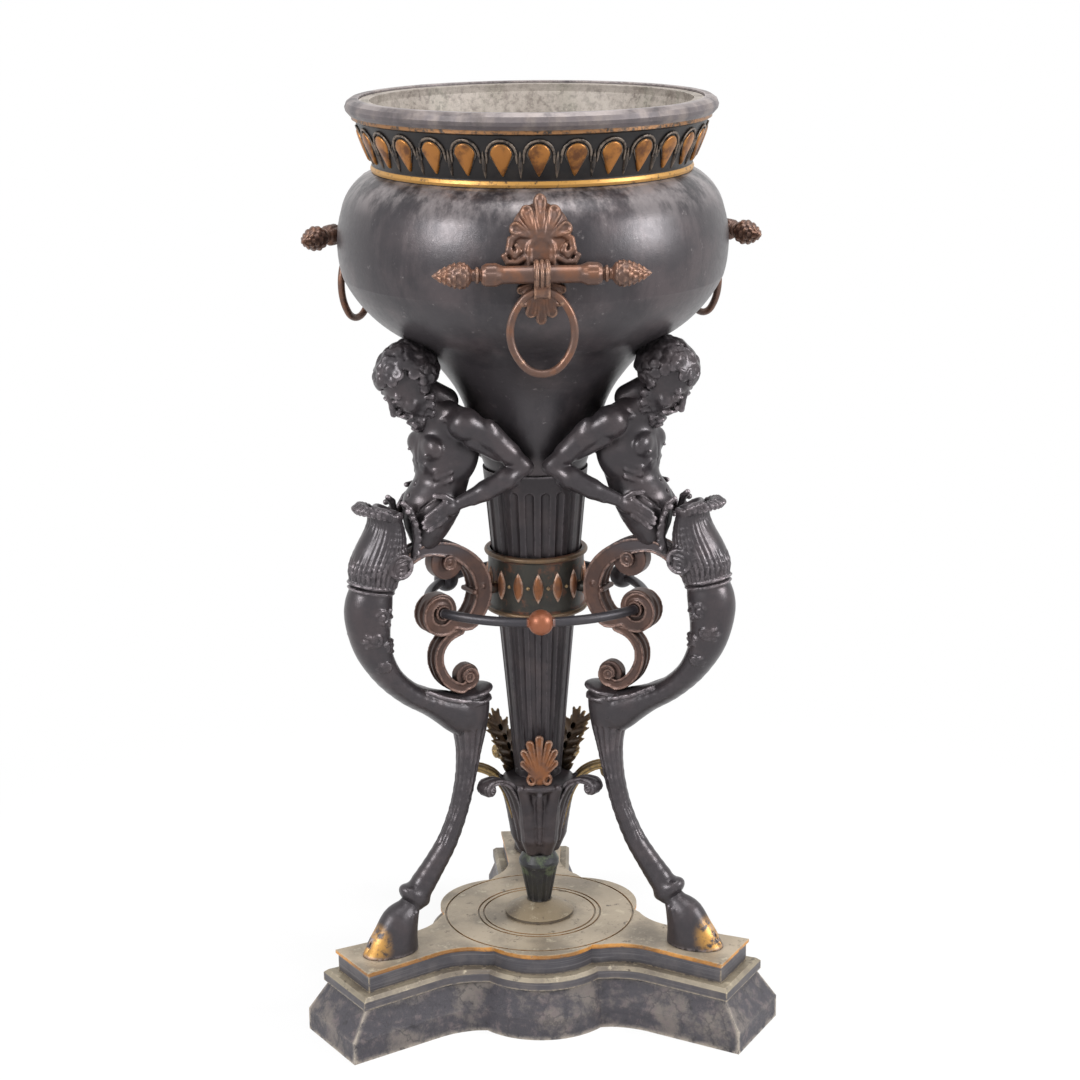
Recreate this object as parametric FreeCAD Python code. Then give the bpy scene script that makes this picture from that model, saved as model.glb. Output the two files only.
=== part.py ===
import FreeCAD, Part
import math
import os

# Jardiniere on a three-legged stand: a round bowl with three drop-ring handles on a fluted column,
# carried by three scrolled legs with half-figures on a stepped three-armed plinth.
# Millimetres, +Z up, the front is -Y. The origin is the centre of the plinth's underside, on the axis.
# Azimuths are in degrees from the front, growing towards +X. "out" is the distance from the axis,
# "side" the distance along the tangent, towards a growing azimuth.

os.makedirs("parts", exist_ok=True)
Vector = FreeCAD.Vector

# ---------------------------------------------------------------- driving dimensions
LEG_AZIMUTHS = (-60.0, 60.0, 180.0)
HANDLE_AZIMUTHS = (0.0, 120.0, -120.0)
GAP = 0.3                      # clearance between curved faces of neighbouring pieces
EASE_STEPS = 3                 # in-between sections of a limb for each pair of given ones

# plinth, moulding and base plate
ARM_END = 249.0                # out of the base plate's arm ends
ARM_HALF = 38.0                # half width of an arm at its end
WAIST_OUT = 160.0              # where an arm is narrowest
WAIST_HALF = 32.0
NIB_OUT = 117.0                # the little corner between arm and central lobe
NIB_ANGLE = 25.0
LOBE_START = 111.0
LOBE_ANGLE = 29.5
LOBE_OUT = 122.0               # middle of the lobe between two arms
STONE_FACE = 25.5              # height of the plinth's upright face
STONE_TOP = 58.0
STONE_END_GROW = 28.0          # how far the plinth reaches past the base plate
STONE_SIDE_GROW = 16.0
STONE_TOP_GROW = 6.0
MOULDING_HEIGHT = 13.6
MOULDING_GROW = 10.5
MOULDING_ROUND = 4.0
PLATE_HEIGHT = 24.7
PLATE_EDGE = 4.8               # height of the raised edge round the plate's top
PLATE_EDGE_STEP = 2.4
RING_GROOVES = (109.0, 71.0, 65.0)
GROOVE_WIDTH = 2.4
GROOVE_DEPTH = 1.4

# foot disc, vase knob, leaf cup and fluted column
FOOT_RADIUS = 39.5
FOOT_EDGE = 4.0
FOOT_HEIGHT = 17.0
KNOB_FOOT_RADIUS = 13.5
KNOB_RADIUS = 23.2
KNOB_HEIGHT = 60.0
KNOB_FLUTES = 10
CUP_BASE_RADIUS = 18.0
CUP_HEIGHT = 98.0
CUP_RADIUS = 45.0
VOLUTE_OFFSETS = (-45.0, 45.0)
VOLUTE_OUT = 80.0
VOLUTE_RADIUS = 9.2
VOLUTE_WIDTH = 15.0
VOLUTE_STRAP = 4.5
LEAF_HEIGHT = 68.0
LEAF_HALF = 25.0
LEAF_THICK = 4.0
LEAF_LEAN = 14.0               # how far a leaf's tip leans out
COLUMN_TOP = 633.0
COLUMN_TOP_RADIUS = 58.5
COLUMN_FOOT_RADIUS = 26.5
COLUMN_CAP = 24.0              # plain band above the flutes
FLUTES = 20
FLUTE_DEPTH = 2.6
COLLAR_Z = 470.0
COLLAR_HEIGHT = 70.0
COLLAR_RADIUS = 56.0
COLLAR_WALL = 4.2
COLLAR_BEAD = 2.2
BOSS_COUNT = 15
BOSS_HEIGHT = 33.0
BOSS_HALF = 5.2
LUG_RADIUS = 6.0               # lug on the collar that meets a leg's large scroll
LUG_REACH = 16.0
LUG_RISE = 14.0

# legs: thickness of the castings along the tangent
LEG_SIDE = 13.0
SHANK_TOP_SIDE = 19.0
BAND_SIDE = 23.0
SCROLL_WIDTH = 24.0
SCROLL_EDGE = 3.0
ANKLE_Z = 146.0
EYE_OUT = 129.0                # eye of the large volute, seat of the tie rods
EYE_Z = 486.0
EYE_RADIUS = 9.0
SCROLL_KNOB_OUT = 119.0        # rolled end that hangs below the top of the large scroll
SCROLL_KNOB_Z = 542.0
SCROLL_KNOB_RADIUS = 8.5
LINK_EYE_OUT = 93.0            # eye of the small volute on the knee
LINK_EYE_Z = 407.0
LINK_EYE_RADIUS = 12.0
ROD_RADIUS = 5.3
BALL_RADIUS = 14.0
BALL_OUT = 117.0

# bowl, rim and liner
BELLY_RADIUS = 212.0
BELLY_RISE = 251.0             # widest place above the column's top
NECK_RADIUS = 171.0
NECK_RISE = 78.0               # neck above the widest place
BOWL_WALL = 6.0
FRIEZE_HEIGHT = 54.0
FRIEZE_FLARE = 18.0            # how much wider the frieze is above than at the neck
FILLET_HEIGHT = 6.0
LIP_OVERHANG = 11.0
LIP_HEIGHT = 17.0
LIP_INSET = 9.0                # how far the lip's mouth lies inside the frieze's top
LINER_WALL = 2.5
LINER_FLOOR_RISE = 173.0       # liner's floor above the column's top
LINER_FLOOR_SHARE = 0.65       # its floor radius as a share of the widest radius
LINER_SEAT_DEPTH = 5.0
DROP_COUNT = 30
DROP_HEIGHT = 34.0
DROP_HALF = 12.6
DROP_RELIEF = 1.6

# drop-ring handles
BAR_DROP = 1.0                 # bar below the bowl's widest place
BAR_RADIUS = 9.3
BAR_HALF = 61.0                # plain bar between the leaf sleeves' outer ends
SLEEVE_LENGTH = 20.0
SLEEVE_RADIUS = 11.5
COLLAR_NECK_RADIUS = 6.0
CONE_LENGTH = 42.0
CONE_RADIUS = 14.0
TIP_HALF = 110.0
PLATE_RELIEF = 5.0             # thickness of the palmette on the bowl
PALMETTE_RISE = 73.0           # tip of the palmette above the bar
SHELL_DROP = 54.0              # tip of the shell below the bar
CLIP_WIDTH = 16.0
CLIP_WALL = 4.0
CLIP_EYE_WALL = 2.6
CLIP_WEB = 2.0                 # metal between the bar and the eye below it
RING_TUBE = 4.0
RING_HALF_WIDTH = 32.5
RING_HALF_HEIGHT = 42.0
RING_END_RADIUS = 26.0         # bend of the ring's top and bottom
RING_END_TURN = 56.0           # degrees from the top to where the flatter flanks start
RING_SWEEP = 1.3               # how far the ring's bend leaves the pivot line inside the clip

# ---------------------------------------------------------------- heights that follow
MOULDING_TOP = STONE_TOP + MOULDING_HEIGHT
PLATE_TOP = MOULDING_TOP + PLATE_HEIGHT
KNOB_Z = PLATE_TOP + FOOT_HEIGHT
CUP_Z = KNOB_Z + KNOB_HEIGHT
COLUMN_Z = CUP_Z + CUP_HEIGHT
BELLY_Z = COLUMN_TOP + BELLY_RISE
NECK_Z = BELLY_Z + NECK_RISE
FRIEZE_TOP_Z = NECK_Z + FRIEZE_HEIGHT
FRIEZE_TOP_RADIUS = NECK_RADIUS + FRIEZE_FLARE
LIP_BOTTOM_Z = FRIEZE_TOP_Z + FILLET_HEIGHT
LIP_TOP_Z = LIP_BOTTOM_Z + LIP_HEIGHT
LIP_RADIUS = FRIEZE_TOP_RADIUS + LIP_OVERHANG
LIP_INNER_RADIUS = FRIEZE_TOP_RADIUS - LIP_INSET
LINER_FLOOR_Z = COLUMN_TOP + LINER_FLOOR_RISE
LINER_FLOOR_RADIUS = BELLY_RADIUS * LINER_FLOOR_SHARE
BAR_Z = BELLY_Z - BAR_DROP
PALMETTE_TOP_Z = BAR_Z + PALMETTE_RISE
SHELL_TIP_Z = BAR_Z - SHELL_DROP
BAR_OUT = BELLY_RADIUS + PLATE_RELIEF + BAR_RADIUS
EYE_HOLE = RING_TUBE + RING_SWEEP + 0.2
PIVOT_Z = BAR_Z - BAR_RADIUS - CLIP_WEB - EYE_HOLE


def place(out, azimuth, z, side=0.0):
    """Point at a distance from the axis, an azimuth and a height."""
    turn = math.radians(azimuth)
    return Vector(
        out * math.sin(turn) + side * math.cos(turn), -out * math.cos(turn) + side * math.sin(turn), z
    )


def turned(shape, azimuth):
    """Copy of a shape modelled at the front, turned to an azimuth."""
    copy = shape.copy()
    copy.rotate(Vector(0, 0, 0), Vector(0, 0, 1), azimuth)
    return copy


def at_leg(out, z, side=0.0):
    """Point of the leg that is modelled at the front, azimuth 0."""
    return place(out, 0.0, z, side)


def line(a, b):
    return Part.LineSegment(a, b).toShape()


def arc(a, b, c):
    return Part.Arc(a, b, c).toShape()


def spline(points):
    curve = Part.BSplineCurve()
    curve.interpolate(points)
    return curve.toShape()


def revolved(outline):
    """Solid turned about the axis from (radius, height) corners, closed along straight edges."""
    points = [Vector(radius, 0, z) for radius, z in outline]
    face = Part.Face(Part.makePolygon(points + points[:1]))
    return face.revolve(Vector(0, 0, 0), Vector(0, 0, 1), 360)


def turned_profile(curve, inner):
    """Solid of revolution between arcs through every second outer point and straight inner corners."""
    outer = [Vector(radius, 0, z) for radius, z in curve]
    corners = [Vector(radius, 0, z) for radius, z in inner]
    edges = [arc(*outer[index : index + 3]) for index in range(0, len(outer) - 2, 2)]
    chain = [outer[-1]] + corners + [outer[0]]
    edges += [line(a, b) for a, b in zip(chain, chain[1:])]
    face = Part.Face(Part.Wire(edges))
    return face.revolve(Vector(0, 0, 0), Vector(0, 0, 1), 360)


def oval(centre, across, through):
    """Closed smooth section through the ends of two half axes."""
    steps = 8
    points = []
    for step in range(steps):
        turn = 2 * math.pi * step / steps
        points.append(centre + across * math.cos(turn) + through * math.sin(turn))
    curve = Part.BSplineCurve()
    curve.interpolate(Points=points, PeriodicFlag=True)
    return Part.Wire(curve.toShape())


def limb(stations):
    """Loft through oval sections: each station is a centre, a direction and two half widths.

    The first half width lies in the plane of the direction and the leg, the second along the side.
    """
    sections = []
    for centre, direction, half, side_half in stations:
        side_axis = Vector(1, 0, 0)
        across = direction.cross(side_axis)
        across.normalize()
        sections.append(oval(centre, across * half, side_axis * side_half))
    return Part.makeLoft(sections, True, True)


def eased(rows, steps):
    """Rows of numbers with smooth in-between rows, so that a ruled loft through them looks round."""
    result = []
    for index in range(len(rows) - 1):
        before = rows[max(index - 1, 0)]
        start = rows[index]
        end = rows[index + 1]
        after = rows[min(index + 2, len(rows) - 1)]
        for step in range(steps):
            t = step / steps
            row = []
            for p0, p1, p2, p3 in zip(before, start, end, after):
                bend = 2 * p0 - 5 * p1 + 4 * p2 - p3
                twist = 3 * p1 - p0 - 3 * p2 + p3
                row.append(p1 + 0.5 * t * ((p2 - p0) + t * (bend + t * twist)))
            result.append(tuple(row))
    result.append(tuple(rows[-1]))
    return result


def path_stations(rows):
    """Stations square to a path given by (out, z, half, side_half) rows in the leg's plane."""
    points = eased(rows, EASE_STEPS)
    stations = []
    for index, (out, z, half, side_half) in enumerate(points):
        before = points[max(index - 1, 0)]
        after = points[min(index + 1, len(points) - 1)]
        direction = at_leg(after[0], after[1]) - at_leg(before[0], before[1])
        stations.append((at_leg(out, z), direction, half, side_half))
    return limb(stations)


def bent_tube(arcs, radius):
    """Round tube along arcs, each through three points."""
    body = None
    for start, middle, end in arcs:
        edge = arc(start, middle, end)
        first = edge.FirstParameter
        ring = Part.Circle(edge.valueAt(first), edge.tangentAt(first), radius).toShape()
        turn = math.degrees(edge.LastParameter - first)
        piece = Part.Face(Part.Wire(ring)).revolve(edge.Curve.Center, edge.Curve.Axis, turn)
        body = piece if body is None else body.fuse(piece)
    return body


def single(shape):
    """The one solid of a shape."""
    solids = shape.Solids
    if len(solids) != 1:
        raise ValueError("expected one solid, found %d" % len(solids))
    return solids[0]


def write(shape, name):
    """Write one closed solid as a node."""
    solid = single(shape)
    if not solid.isValid():
        raise ValueError(name + " is not a valid solid")
    solid.exportStep("parts/" + name + ".step")


# ---------------------------------------------------------------- plinth, moulding, base plate
def base_outline(end_grow, side_grow, z):
    """Three-armed outline: square arm ends, hollow flanks, a nib and a round lobe between arms."""
    edges = []
    for index, azimuth in enumerate(LEG_AZIMUTHS):
        end = ARM_END + end_grow
        half = ARM_HALF + side_grow
        waist = WAIST_HALF + side_grow
        nib = NIB_OUT + side_grow
        lobe = LOBE_START + side_grow
        near = -1.0
        far = 1.0

        def nib_point(sign):
            return place(nib, azimuth + sign * NIB_ANGLE, z)

        def flank_middle(sign):
            middle_out = (WAIST_OUT + nib * math.cos(math.radians(NIB_ANGLE))) / 2
            return place(middle_out, azimuth, z, sign * (waist + 2.0))

        edges.append(arc(nib_point(near), flank_middle(near), place(WAIST_OUT, azimuth, z, -waist)))
        edges.append(line(place(WAIST_OUT, azimuth, z, -waist), place(end, azimuth, z, -half)))
        edges.append(line(place(end, azimuth, z, -half), place(end, azimuth, z, half)))
        edges.append(line(place(end, azimuth, z, half), place(WAIST_OUT, azimuth, z, waist)))
        edges.append(arc(place(WAIST_OUT, azimuth, z, waist), flank_middle(far), nib_point(far)))
        lobe_from = place(lobe, azimuth + LOBE_ANGLE, z)
        lobe_to = place(lobe, azimuth + 120.0 - LOBE_ANGLE, z)
        lobe_middle = place(LOBE_OUT + side_grow, azimuth + 60.0, z)
        edges.append(line(nib_point(far), lobe_from))
        edges.append(arc(lobe_from, lobe_middle, lobe_to))
        edges.append(line(lobe_to, place(nib, azimuth + 120.0 - NIB_ANGLE, z)))
    return Part.Wire(edges)


def tier(levels):
    """Solid through base outlines at rising heights: (end_grow, side_grow, z)."""
    return Part.makeLoft([base_outline(*level) for level in levels], True, True)


def stone_plinth():
    return tier(
        [
            (STONE_END_GROW, STONE_SIDE_GROW, 0.0),
            (STONE_END_GROW, STONE_SIDE_GROW, STONE_FACE),
            (STONE_TOP_GROW, STONE_TOP_GROW, STONE_TOP),
        ]
    )


def base_moulding():
    return tier(
        [
            (MOULDING_GROW, MOULDING_GROW, STONE_TOP),
            (MOULDING_GROW, MOULDING_GROW, MOULDING_TOP - MOULDING_ROUND),
            (MOULDING_GROW - MOULDING_ROUND, MOULDING_GROW - MOULDING_ROUND, MOULDING_TOP),
        ]
    )


def ring_groove(radius):
    return revolved(
        [
            (radius - GROOVE_WIDTH / 2, PLATE_TOP + 1.0),
            (radius - GROOVE_WIDTH / 2, PLATE_TOP - GROOVE_DEPTH),
            (radius + GROOVE_WIDTH / 2, PLATE_TOP - GROOVE_DEPTH),
            (radius + GROOVE_WIDTH / 2, PLATE_TOP + 1.0),
        ]
    )


def base_plate():
    edge_z = PLATE_TOP - PLATE_EDGE
    body = tier(
        [
            (-PLATE_EDGE_STEP, -PLATE_EDGE_STEP, MOULDING_TOP),
            (-PLATE_EDGE_STEP, -PLATE_EDGE_STEP, edge_z),
            (0.0, 0.0, edge_z + 1.0),
            (0.0, 0.0, PLATE_TOP),
        ]
    )
    for radius in RING_GROOVES:
        body = body.cut(ring_groove(radius))
    return body


# ---------------------------------------------------------------- foot disc, knob, leaf cup
def foot_disc():
    return revolved(
        [
            (0.0, PLATE_TOP),
            (FOOT_RADIUS, PLATE_TOP),
            (FOOT_RADIUS, PLATE_TOP + FOOT_EDGE),
            (FOOT_RADIUS * 0.72, PLATE_TOP + FOOT_HEIGHT * 0.62),
            (KNOB_FOOT_RADIUS + 1.5, PLATE_TOP + FOOT_HEIGHT),
            (0.0, PLATE_TOP + FOOT_HEIGHT),
        ]
    )


def vase_knob():
    shoulder_z = CUP_Z - 10.0
    body = revolved(
        [
            (0.0, KNOB_Z),
            (KNOB_FOOT_RADIUS, KNOB_Z),
            (KNOB_RADIUS - 2.0, shoulder_z - 10.0),
            (KNOB_RADIUS, shoulder_z - 4.0),
            (KNOB_RADIUS, shoulder_z),
            (CUP_BASE_RADIUS, CUP_Z),
            (0.0, CUP_Z),
        ]
    )
    flute_radius = math.pi * KNOB_FOOT_RADIUS / KNOB_FLUTES * 0.85
    for index in range(KNOB_FLUTES):
        azimuth = (index + 0.5) * 360.0 / KNOB_FLUTES
        foot = place(KNOB_FOOT_RADIUS + flute_radius * 0.45, azimuth, KNOB_Z - 1.0)
        head = place(KNOB_RADIUS + flute_radius * 0.9, azimuth, shoulder_z - 8.0)
        run = head - foot
        body = body.cut(Part.makeCone(flute_radius, flute_radius * 1.5, run.Length, foot, run))
    return body


def volute_strap(azimuth):
    """Leaf strap that leaves the cup, arches over and ends in a round volute."""
    top_z = COLUMN_Z + 4.0
    eye_z = top_z - VOLUTE_RADIUS
    root = at_leg(CUP_RADIUS * 0.55, CUP_Z + CUP_HEIGHT * 0.45)
    outer = [
        at_leg(CUP_RADIUS * 0.83, CUP_Z + CUP_HEIGHT * 0.62),
        at_leg(CUP_RADIUS * 1.10, COLUMN_Z - 10.0),
        at_leg(VOLUTE_OUT - VOLUTE_RADIUS * 1.4, top_z - 1.6),
        at_leg(VOLUTE_OUT, top_z),
    ]
    inner = [
        at_leg(VOLUTE_OUT, top_z - VOLUTE_STRAP * 2),
        at_leg(VOLUTE_OUT - VOLUTE_RADIUS * 1.7, top_z - VOLUTE_STRAP * 2),
        at_leg(CUP_RADIUS * 1.16, COLUMN_Z - 26.0),
        at_leg(CUP_RADIUS * 0.86, CUP_Z + CUP_HEIGHT * 0.40),
    ]
    edges = [
        line(root, outer[0]),
        spline(outer),
        line(outer[-1], inner[0]),
        spline(inner),
        line(inner[-1], root),
    ]
    strap = Part.Face(Part.Wire(edges)).extrude(Vector(VOLUTE_WIDTH, 0, 0))
    strap.translate(Vector(-VOLUTE_WIDTH / 2, 0, 0))
    eye_foot = at_leg(VOLUTE_OUT, eye_z, -VOLUTE_WIDTH / 2)
    eye = Part.makeCylinder(VOLUTE_RADIUS, VOLUTE_WIDTH, eye_foot, Vector(1, 0, 0))
    return turned(strap.fuse(eye), azimuth)


def leaf_cup():
    body = revolved(
        [
            (0.0, CUP_Z),
            (CUP_BASE_RADIUS, CUP_Z),
            (26.0, CUP_Z + 14.0),
            (31.0, CUP_Z + 34.0),
            (35.0, CUP_Z + 58.0),
            (41.0, CUP_Z + 78.0),
            (CUP_RADIUS + 2.0, COLUMN_Z - 6.0),
            (CUP_RADIUS, COLUMN_Z),
            (0.0, COLUMN_Z),
        ]
    )
    for azimuth in HANDLE_AZIMUTHS:
        for offset in VOLUTE_OFFSETS:
            body = body.fuse(volute_strap(azimuth + offset))
    return body.removeSplitter()


def cup_leaf(azimuth):
    """Upright lobed leaf standing on the cup, leaning out and clear of the column."""
    foot_out = COLUMN_FOOT_RADIUS + 5.5
    lobes = 4
    right = []
    for index in range(lobes):
        share = index / lobes
        half = LEAF_HALF * (0.62 + 0.38 * math.sin(math.pi * min(share + 0.25, 1.0)))
        z = COLUMN_Z + LEAF_HEIGHT * share
        right.append((half * (1.0 - 0.45 * share), z))
        right.append((half * (1.0 - 0.45 * share) * 0.78, z + LEAF_HEIGHT / lobes * 0.85))
    outline = right + [(0.0, COLUMN_Z + LEAF_HEIGHT)] + [(-half, z) for half, z in reversed(right)]
    points = [Vector(half, 0, z) for half, z in outline]
    blank = Part.Face(Part.makePolygon(points + points[:1])).extrude(Vector(0, -120, 0))
    lean = LEAF_LEAN
    shell = revolved(
        [
            (foot_out, COLUMN_Z),
            (foot_out + lean * 0.25, COLUMN_Z + LEAF_HEIGHT * 0.5),
            (foot_out + lean, COLUMN_Z + LEAF_HEIGHT),
            (foot_out + lean + LEAF_THICK, COLUMN_Z + LEAF_HEIGHT),
            (foot_out + lean * 0.25 + LEAF_THICK, COLUMN_Z + LEAF_HEIGHT * 0.5),
            (foot_out + LEAF_THICK, COLUMN_Z),
        ]
    )
    return turned(blank.common(shell), azimuth)


# ---------------------------------------------------------------- column and collar
def column_radius(z):
    share = (z - COLUMN_Z) / (COLUMN_TOP - COLUMN_Z)
    return COLUMN_FOOT_RADIUS + (COLUMN_TOP_RADIUS - COLUMN_FOOT_RADIUS) * share


def column():
    body = revolved(
        [(0.0, COLUMN_Z), (COLUMN_FOOT_RADIUS, COLUMN_Z), (COLUMN_TOP_RADIUS, COLUMN_TOP), (0.0, COLUMN_TOP)]
    )
    head_z = COLUMN_TOP - COLUMN_CAP
    foot_z = COLUMN_Z + 8.0

    def flute_radius(z):
        return math.pi * column_radius(z) / FLUTES * 0.72

    for index in range(FLUTES):
        azimuth = (index + 0.5) * 360.0 / FLUTES
        offset = 0.55
        foot_r = flute_radius(foot_z)
        head_r = flute_radius(head_z)
        foot = place(column_radius(foot_z) + foot_r * offset, azimuth, foot_z)
        head = place(column_radius(head_z) + head_r * offset, azimuth, head_z)
        run = head - foot
        cutter = Part.makeCone(foot_r, head_r, run.Length, foot, run)
        body = body.cut(cutter.fuse(Part.makeSphere(head_r, head)))
    return body


def collar():
    """Band round the column with beaded rims, almond bosses and a lug at each leg's scroll."""
    top = COLLAR_Z + COLLAR_HEIGHT
    rim = COLLAR_RADIUS
    wall = COLLAR_RADIUS - COLLAR_BEAD
    inner = COLLAR_RADIUS - COLLAR_WALL
    bead = COLLAR_BEAD * 2.4
    body = revolved(
        [
            (inner, COLLAR_Z),
            (rim, COLLAR_Z),
            (rim, COLLAR_Z + bead),
            (wall, COLLAR_Z + bead + COLLAR_BEAD),
            (wall, top - bead - COLLAR_BEAD),
            (rim, top - bead),
            (rim, top),
            (inner, top),
        ]
    )
    middle = (COLLAR_Z + top) / 2
    for index in range(BOSS_COUNT):
        azimuth = index * 360.0 / BOSS_COUNT
        tip = place(wall - 1.0, 0.0, middle + BOSS_HEIGHT / 2)
        foot = place(wall - 1.0, 0.0, middle - BOSS_HEIGHT / 2)
        ridge = place(rim - 0.2, 0.0, middle)
        left = place(wall - 1.0, 0.0, middle, -BOSS_HALF)
        right = place(wall - 1.0, 0.0, middle, BOSS_HALF)
        faces = [
            Part.Face(Part.makePolygon([a, b, ridge, a]))
            for a, b in ((foot, right), (right, tip), (tip, left), (left, foot))
        ]
        faces.append(Part.Face(Part.makePolygon([foot, left, tip, right, foot])))
        boss = Part.Solid(Part.Shell(faces))
        body = body.fuse(turned(boss, azimuth))
    for azimuth in LEG_AZIMUTHS:
        lug_foot = place(inner + 1.0, azimuth, EYE_Z + LUG_RISE)
        outward = place(1.0, azimuth, 0.0)
        body = body.fuse(Part.makeCylinder(LUG_RADIUS, LUG_REACH, lug_foot, outward))
    return body


# ---------------------------------------------------------------- legs
def leg_casting():
    """Shank from the ankle to the knee and the band that swells up to the figure's cup."""
    shank = path_stations(
        [
            (165.0, ANKLE_Z, 15.5, 15.0),
            (158.0, ANKLE_Z + 17.0, 16.5, 15.0),
            (140.0, 186.0, 13.0, 13.0),
            (122.0, 213.0, 11.5, LEG_SIDE),
            (106.5, 248.0, 11.0, LEG_SIDE),
            (97.0, 284.0, 11.5, LEG_SIDE),
            (92.0, 318.0, 13.5, 15.0),
            (90.0, 345.0, 19.0, 17.0),
            (90.0, 386.0, 25.0, SHANK_TOP_SIDE),
        ]
    )
    ankle_cut = Part.makeBox(400, 400, 200, Vector(-200, -400, ANKLE_Z - 200))
    band = path_stations(
        [
            (93.0, 360.0, 13.0, SHANK_TOP_SIDE - 1.0),
            (118.0, 372.0, 13.5, 18.0),
            (150.0, 387.0, 13.0, 18.0),
            (180.0, 404.0, 14.0, 19.0),
            (202.0, 430.0, 17.5, 21.0),
            (214.0, 460.0, 21.0, BAND_SIDE),
            (217.0, 490.0, 24.0, BAND_SIDE + 1.0),
            (213.0, 518.0, 21.0, BAND_SIDE - 1.0),
        ]
    )
    return shank.cut(ankle_cut).fuse(band)


def hoof():
    """Cloven-looking plain hoof: a short pastern over a sloping shell with a flat sole."""
    body = path_stations(
        [
            (165.5, ANKLE_Z + 6.0, 16.0, 16.0),
            (172.0, ANKLE_Z - 12.0, 17.0, 17.0),
            (182.0, ANKLE_Z - 26.0, 21.0, 19.0),
            (194.0, ANKLE_Z - 40.0, 29.0, 22.0),
            (201.0, ANKLE_Z - 56.0, 33.0, 23.0),
        ]
    )
    above = Part.makeBox(400, 400, 100, Vector(-200, -400, ANKLE_Z))
    below = Part.makeBox(400, 400, 100, Vector(-200, -400, PLATE_TOP - 100))
    return body.cut(above).cut(below)


def figure_cup():
    """Leafy cup on the band, from which the half-figure rises."""
    return path_stations(
        [
            (214.5, 512.0, 22.0, 24.0),
            (209.0, 538.0, 24.0, 27.0),
            (199.0, 562.0, 25.0, 30.0),
            (190.0, 588.0, 19.0, 29.0),
            (197.0, 607.0, 16.0, 27.0),
            (206.0, 616.0, 12.0, 22.0),
        ]
    )


def ribbon(outer, inner, width):
    """Flat-sided scroll strap between two smooth edges, with broken corners."""
    a = [at_leg(out, z, -width / 2) for out, z in outer]
    b = [at_leg(out, z, -width / 2) for out, z in inner]
    edges = [spline(a), line(a[-1], b[-1]), spline(b), line(b[0], a[0])]
    return Part.Face(Part.Wire(edges)).extrude(Vector(width, 0, 0))


def eye_boss(out, z, radius, width):
    """Round eye of a volute, a little proud of the strap on both sides."""
    proud = 2.0
    foot = at_leg(out, z, -width / 2 - proud)
    body = Part.makeCylinder(radius, width + 2 * proud, foot, Vector(1, 0, 0))
    return body.makeChamfer(1.5, [edge for edge in body.Edges if edge.Closed])


def c_scroll():
    """Large C from the figure's cup round to the volute that holds the tie rods."""
    outer = [(194.0, 536.0), (183.0, 550.0), (168.0, 560.0), (148.0, 567.0), (124.5, 566.0)]
    outer += [(101.0, 557.0), (78.0, 540.0)]
    outer += [(65.5, 519.0), (63.0, 497.0), (70.0, 476.0), (86.0, 461.0)]
    inner = [(184.0, 522.0), (173.0, 538.0), (160.0, 548.0), (146.0, 552.0), (126.0, 549.0)]
    inner += [(108.0, 541.0), (95.0, 528.0)]
    inner += [(88.0, 512.0), (88.0, 497.0), (93.0, 486.0), (101.0, 478.0)]
    turns = 10
    start = -140.0
    for step in range(turns):
        angle = math.radians(start + step * 32.0)
        reach = 30.0 - step * 1.55
        wall = 15.0 - step * 1.15
        outer.append((EYE_OUT + reach * math.cos(angle), EYE_Z + reach * math.sin(angle)))
        inner.append(
            (EYE_OUT + (reach - wall) * math.cos(angle), EYE_Z + (reach - wall) * math.sin(angle))
        )
    body = ribbon(outer, inner, SCROLL_WIDTH)
    body = body.fuse(eye_boss(EYE_OUT, EYE_Z, EYE_RADIUS + 4.5, SCROLL_WIDTH))
    knob_foot = at_leg(SCROLL_KNOB_OUT, SCROLL_KNOB_Z, -SCROLL_WIDTH / 2)
    return body.fuse(Part.makeCylinder(SCROLL_KNOB_RADIUS, SCROLL_WIDTH, knob_foot, Vector(1, 0, 0)))


def s_scroll():
    """Small link from under the large volute to the knee, ending in its own volute."""
    width = SCROLL_WIDTH - 4.0
    outer = [(100.0, 468.0), (120.0, 462.0), (135.0, 449.0), (138.0, 429.0), (131.0, 410.0)]
    outer += [(119.0, 394.0), (104.0, 386.5), (90.0, 393.0)]
    inner = [(104.0, 453.0), (117.0, 449.5), (125.5, 440.0), (127.0, 428.0), (121.5, 414.0)]
    inner += [(113.0, 404.0), (106.0, 400.0), (98.0, 402.0)]
    body = ribbon(outer, inner, width)
    return body.fuse(eye_boss(LINK_EYE_OUT, LINK_EYE_Z, LINK_EYE_RADIUS, width))


# ---------------------------------------------------------------- half-figures
def figure_torso():
    return path_stations(
        [
            (130.0, 562.0, 16.0, 18.0),
            (132.0, 590.0, 28.0, 29.0),
            (142.0, 611.0, 22.0, 27.0),
            (132.0, 634.0, 18.5, 25.0),
            (129.0, 652.0, 20.5, 30.0),
            (128.0, 672.0, 23.0, 34.0),
            (126.0, 690.0, 19.0, 33.0),
            (133.0, 705.0, 13.0, 17.0),
        ]
    )


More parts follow.
